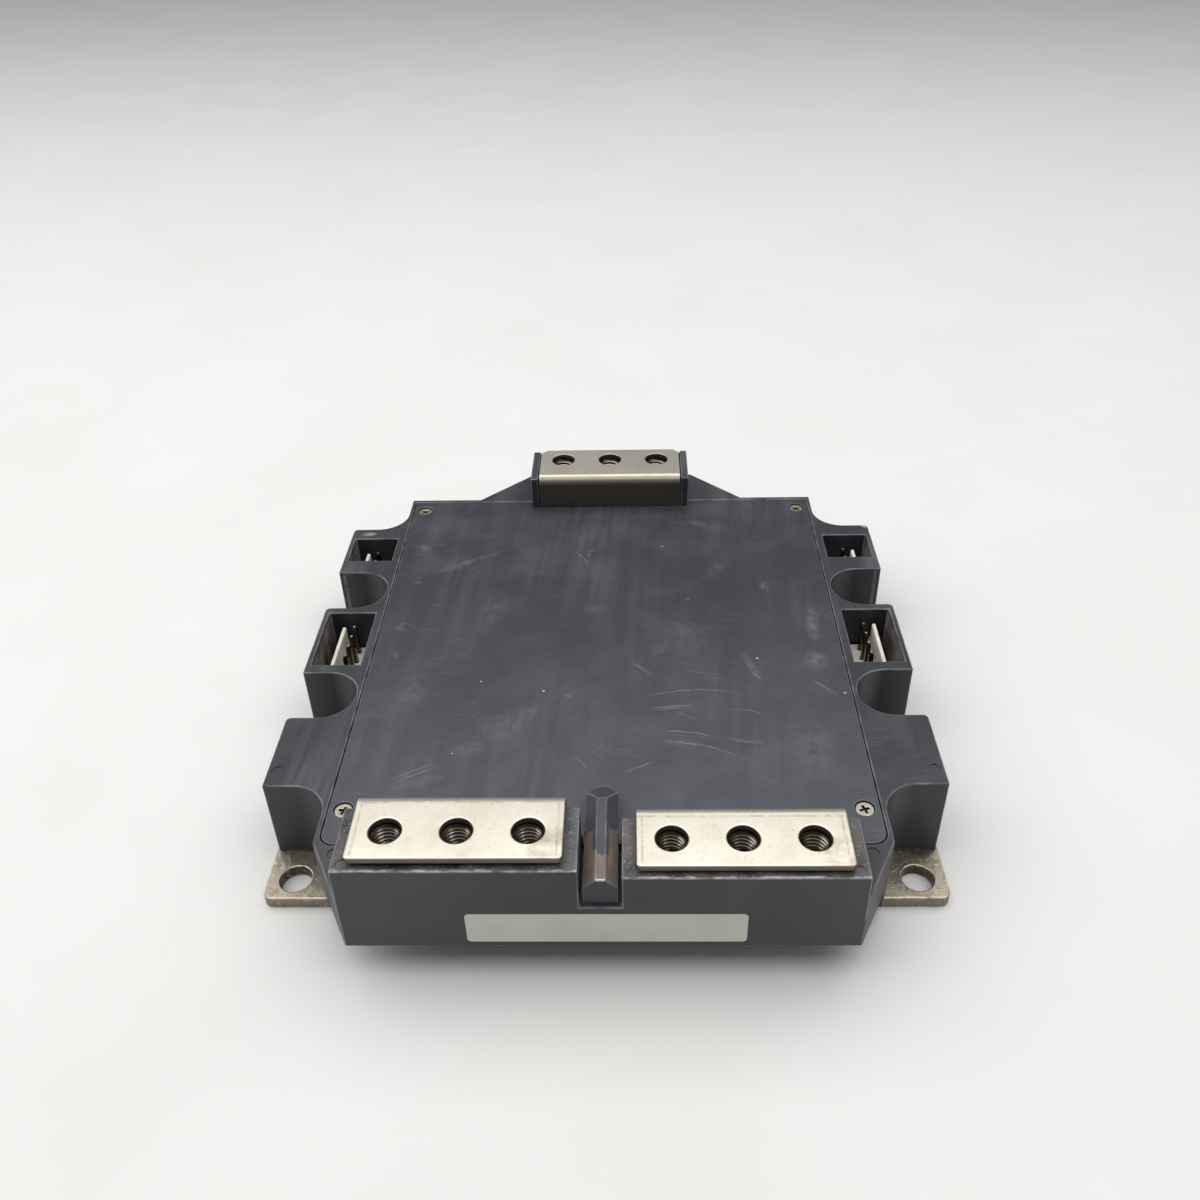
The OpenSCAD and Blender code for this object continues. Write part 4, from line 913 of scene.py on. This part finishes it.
class MODULE_OT_stage(bpy.types.Operator):
    """Plain floor, soft light and the camera"""
    bl_idname = "power_module.stage"
    bl_label = "Stage"

    def lamp(self, name, place, size, power):
        """A rectangular lamp that shines straight down."""
        light = bpy.data.lights.new(name, "AREA")
        light.shape = "RECTANGLE"
        light.size, light.size_y = size
        light.energy = power
        lamp = bpy.data.objects.new(name, light)
        bpy.context.scene.collection.objects.link(lamp)
        lamp.location = place
        lamp.rotation_euler = Vector((0, 0, -1)).to_track_quat("-Z", "Y").to_euler()

    def execute(self, context):
        scene, stage = context.scene, context.scene.module_stage
        bm = bmesh.new()
        bmesh.ops.create_grid(bm, x_segments=1, y_segments=1, size=FLOOR_HALF,
                              matrix=Matrix.Translation(FLOOR_PLACE))
        mesh = bpy.data.meshes.new("floor")
        bm.to_mesh(mesh)
        bm.free()
        floor = bpy.data.objects.new("floor", mesh)
        scene.collection.objects.link(floor)
        board = soft_solid("matt pale board, floor", stage.floor, "#dedcd8", 0.8, 60, 0.35, 0.02,
                           IOR=1.45)
        mesh.materials.append(board)
        world = bpy.data.worlds.new("Studio")
        scene.world = world
        world.use_nodes = True
        sky = world.node_tree.nodes["Background"]
        sky.inputs["Color"].default_value = (*linear("#e4e6ea"), 1)
        sky.inputs["Strength"].default_value = stage.sky
        self.lamp("Overhead softbox", SOFTBOX_PLACE, SOFTBOX_SIZE, stage.softbox)
        data = bpy.data.cameras.new("Camera")
        data.sensor_width = 36
        data.lens = stage.lens
        data.shift_x, data.shift_y = stage.shift
        data.clip_start, data.clip_end = 0.01, 20
        camera = bpy.data.objects.new("Camera", data)
        scene.collection.objects.link(camera)
        az, el, roll = stage.azimuth, stage.elevation, stage.roll
        back = Vector((math.sin(az) * math.cos(el), -math.cos(az) * math.cos(el), math.sin(el)))
        right = (-back).cross(Vector((0, 0, 1))).normalized()
        over = right.cross(-back)
        across = math.cos(roll) * right + math.sin(roll) * over
        above = -math.sin(roll) * right + math.cos(roll) * over
        spin = Matrix((across, above, back)).transposed().to_4x4()
        camera.matrix_world = Matrix.Translation(Vector(stage.aim) + back * stage.distance) @ spin
        scene.camera = camera
        scene.view_settings.view_transform = "Standard"
        return {"FINISHED"}


PIECES = (MODULE_OT_stage, MODULE_OT_case, MODULE_OT_lid, MODULE_OT_base_plate, MODULE_OT_terminals,
          MODULE_OT_nuts, MODULE_OT_screws, MODULE_OT_sockets, MODULE_OT_label, MODULE_OT_power_stage)


class MODULE_PT_pieces(bpy.types.Panel):
    """Lists the pieces of the module and their sizes and colours"""
    bl_label = "Power Module"
    bl_idname = "MODULE_PT_pieces"
    bl_space_type = "VIEW_3D"
    bl_region_type = "UI"
    bl_category = "Power Module"

    def draw(self, context):
        for group in (context.scene.module_sizes, context.scene.module_colours, context.scene.module_stage):
            box = self.layout.box()
            for name in group.__annotations__:
                box.prop(group, name)
        for piece in PIECES:
            self.layout.operator(piece.bl_idname)


GROUPS = {"module_sizes": ModuleSizes, "module_colours": ModuleColours, "module_stage": StageSettings}


def register():
    for kind in (*GROUPS.values(), *PIECES, MODULE_PT_pieces):
        bpy.utils.register_class(kind)
    for name, group in GROUPS.items():
        setattr(bpy.types.Scene, name, bpy.props.PointerProperty(type=group))


def unregister():
    for name in GROUPS:
        delattr(bpy.types.Scene, name)
    for kind in reversed((*GROUPS.values(), *PIECES, MODULE_PT_pieces)):
        bpy.utils.unregister_class(kind)


def main():
    register()
    for piece in PIECES:
        group, name = piece.bl_idname.split(".")
        getattr(getattr(bpy.ops, group), name)()
    bpy.context.view_layer.update()


if __name__ == "__main__":
    main()
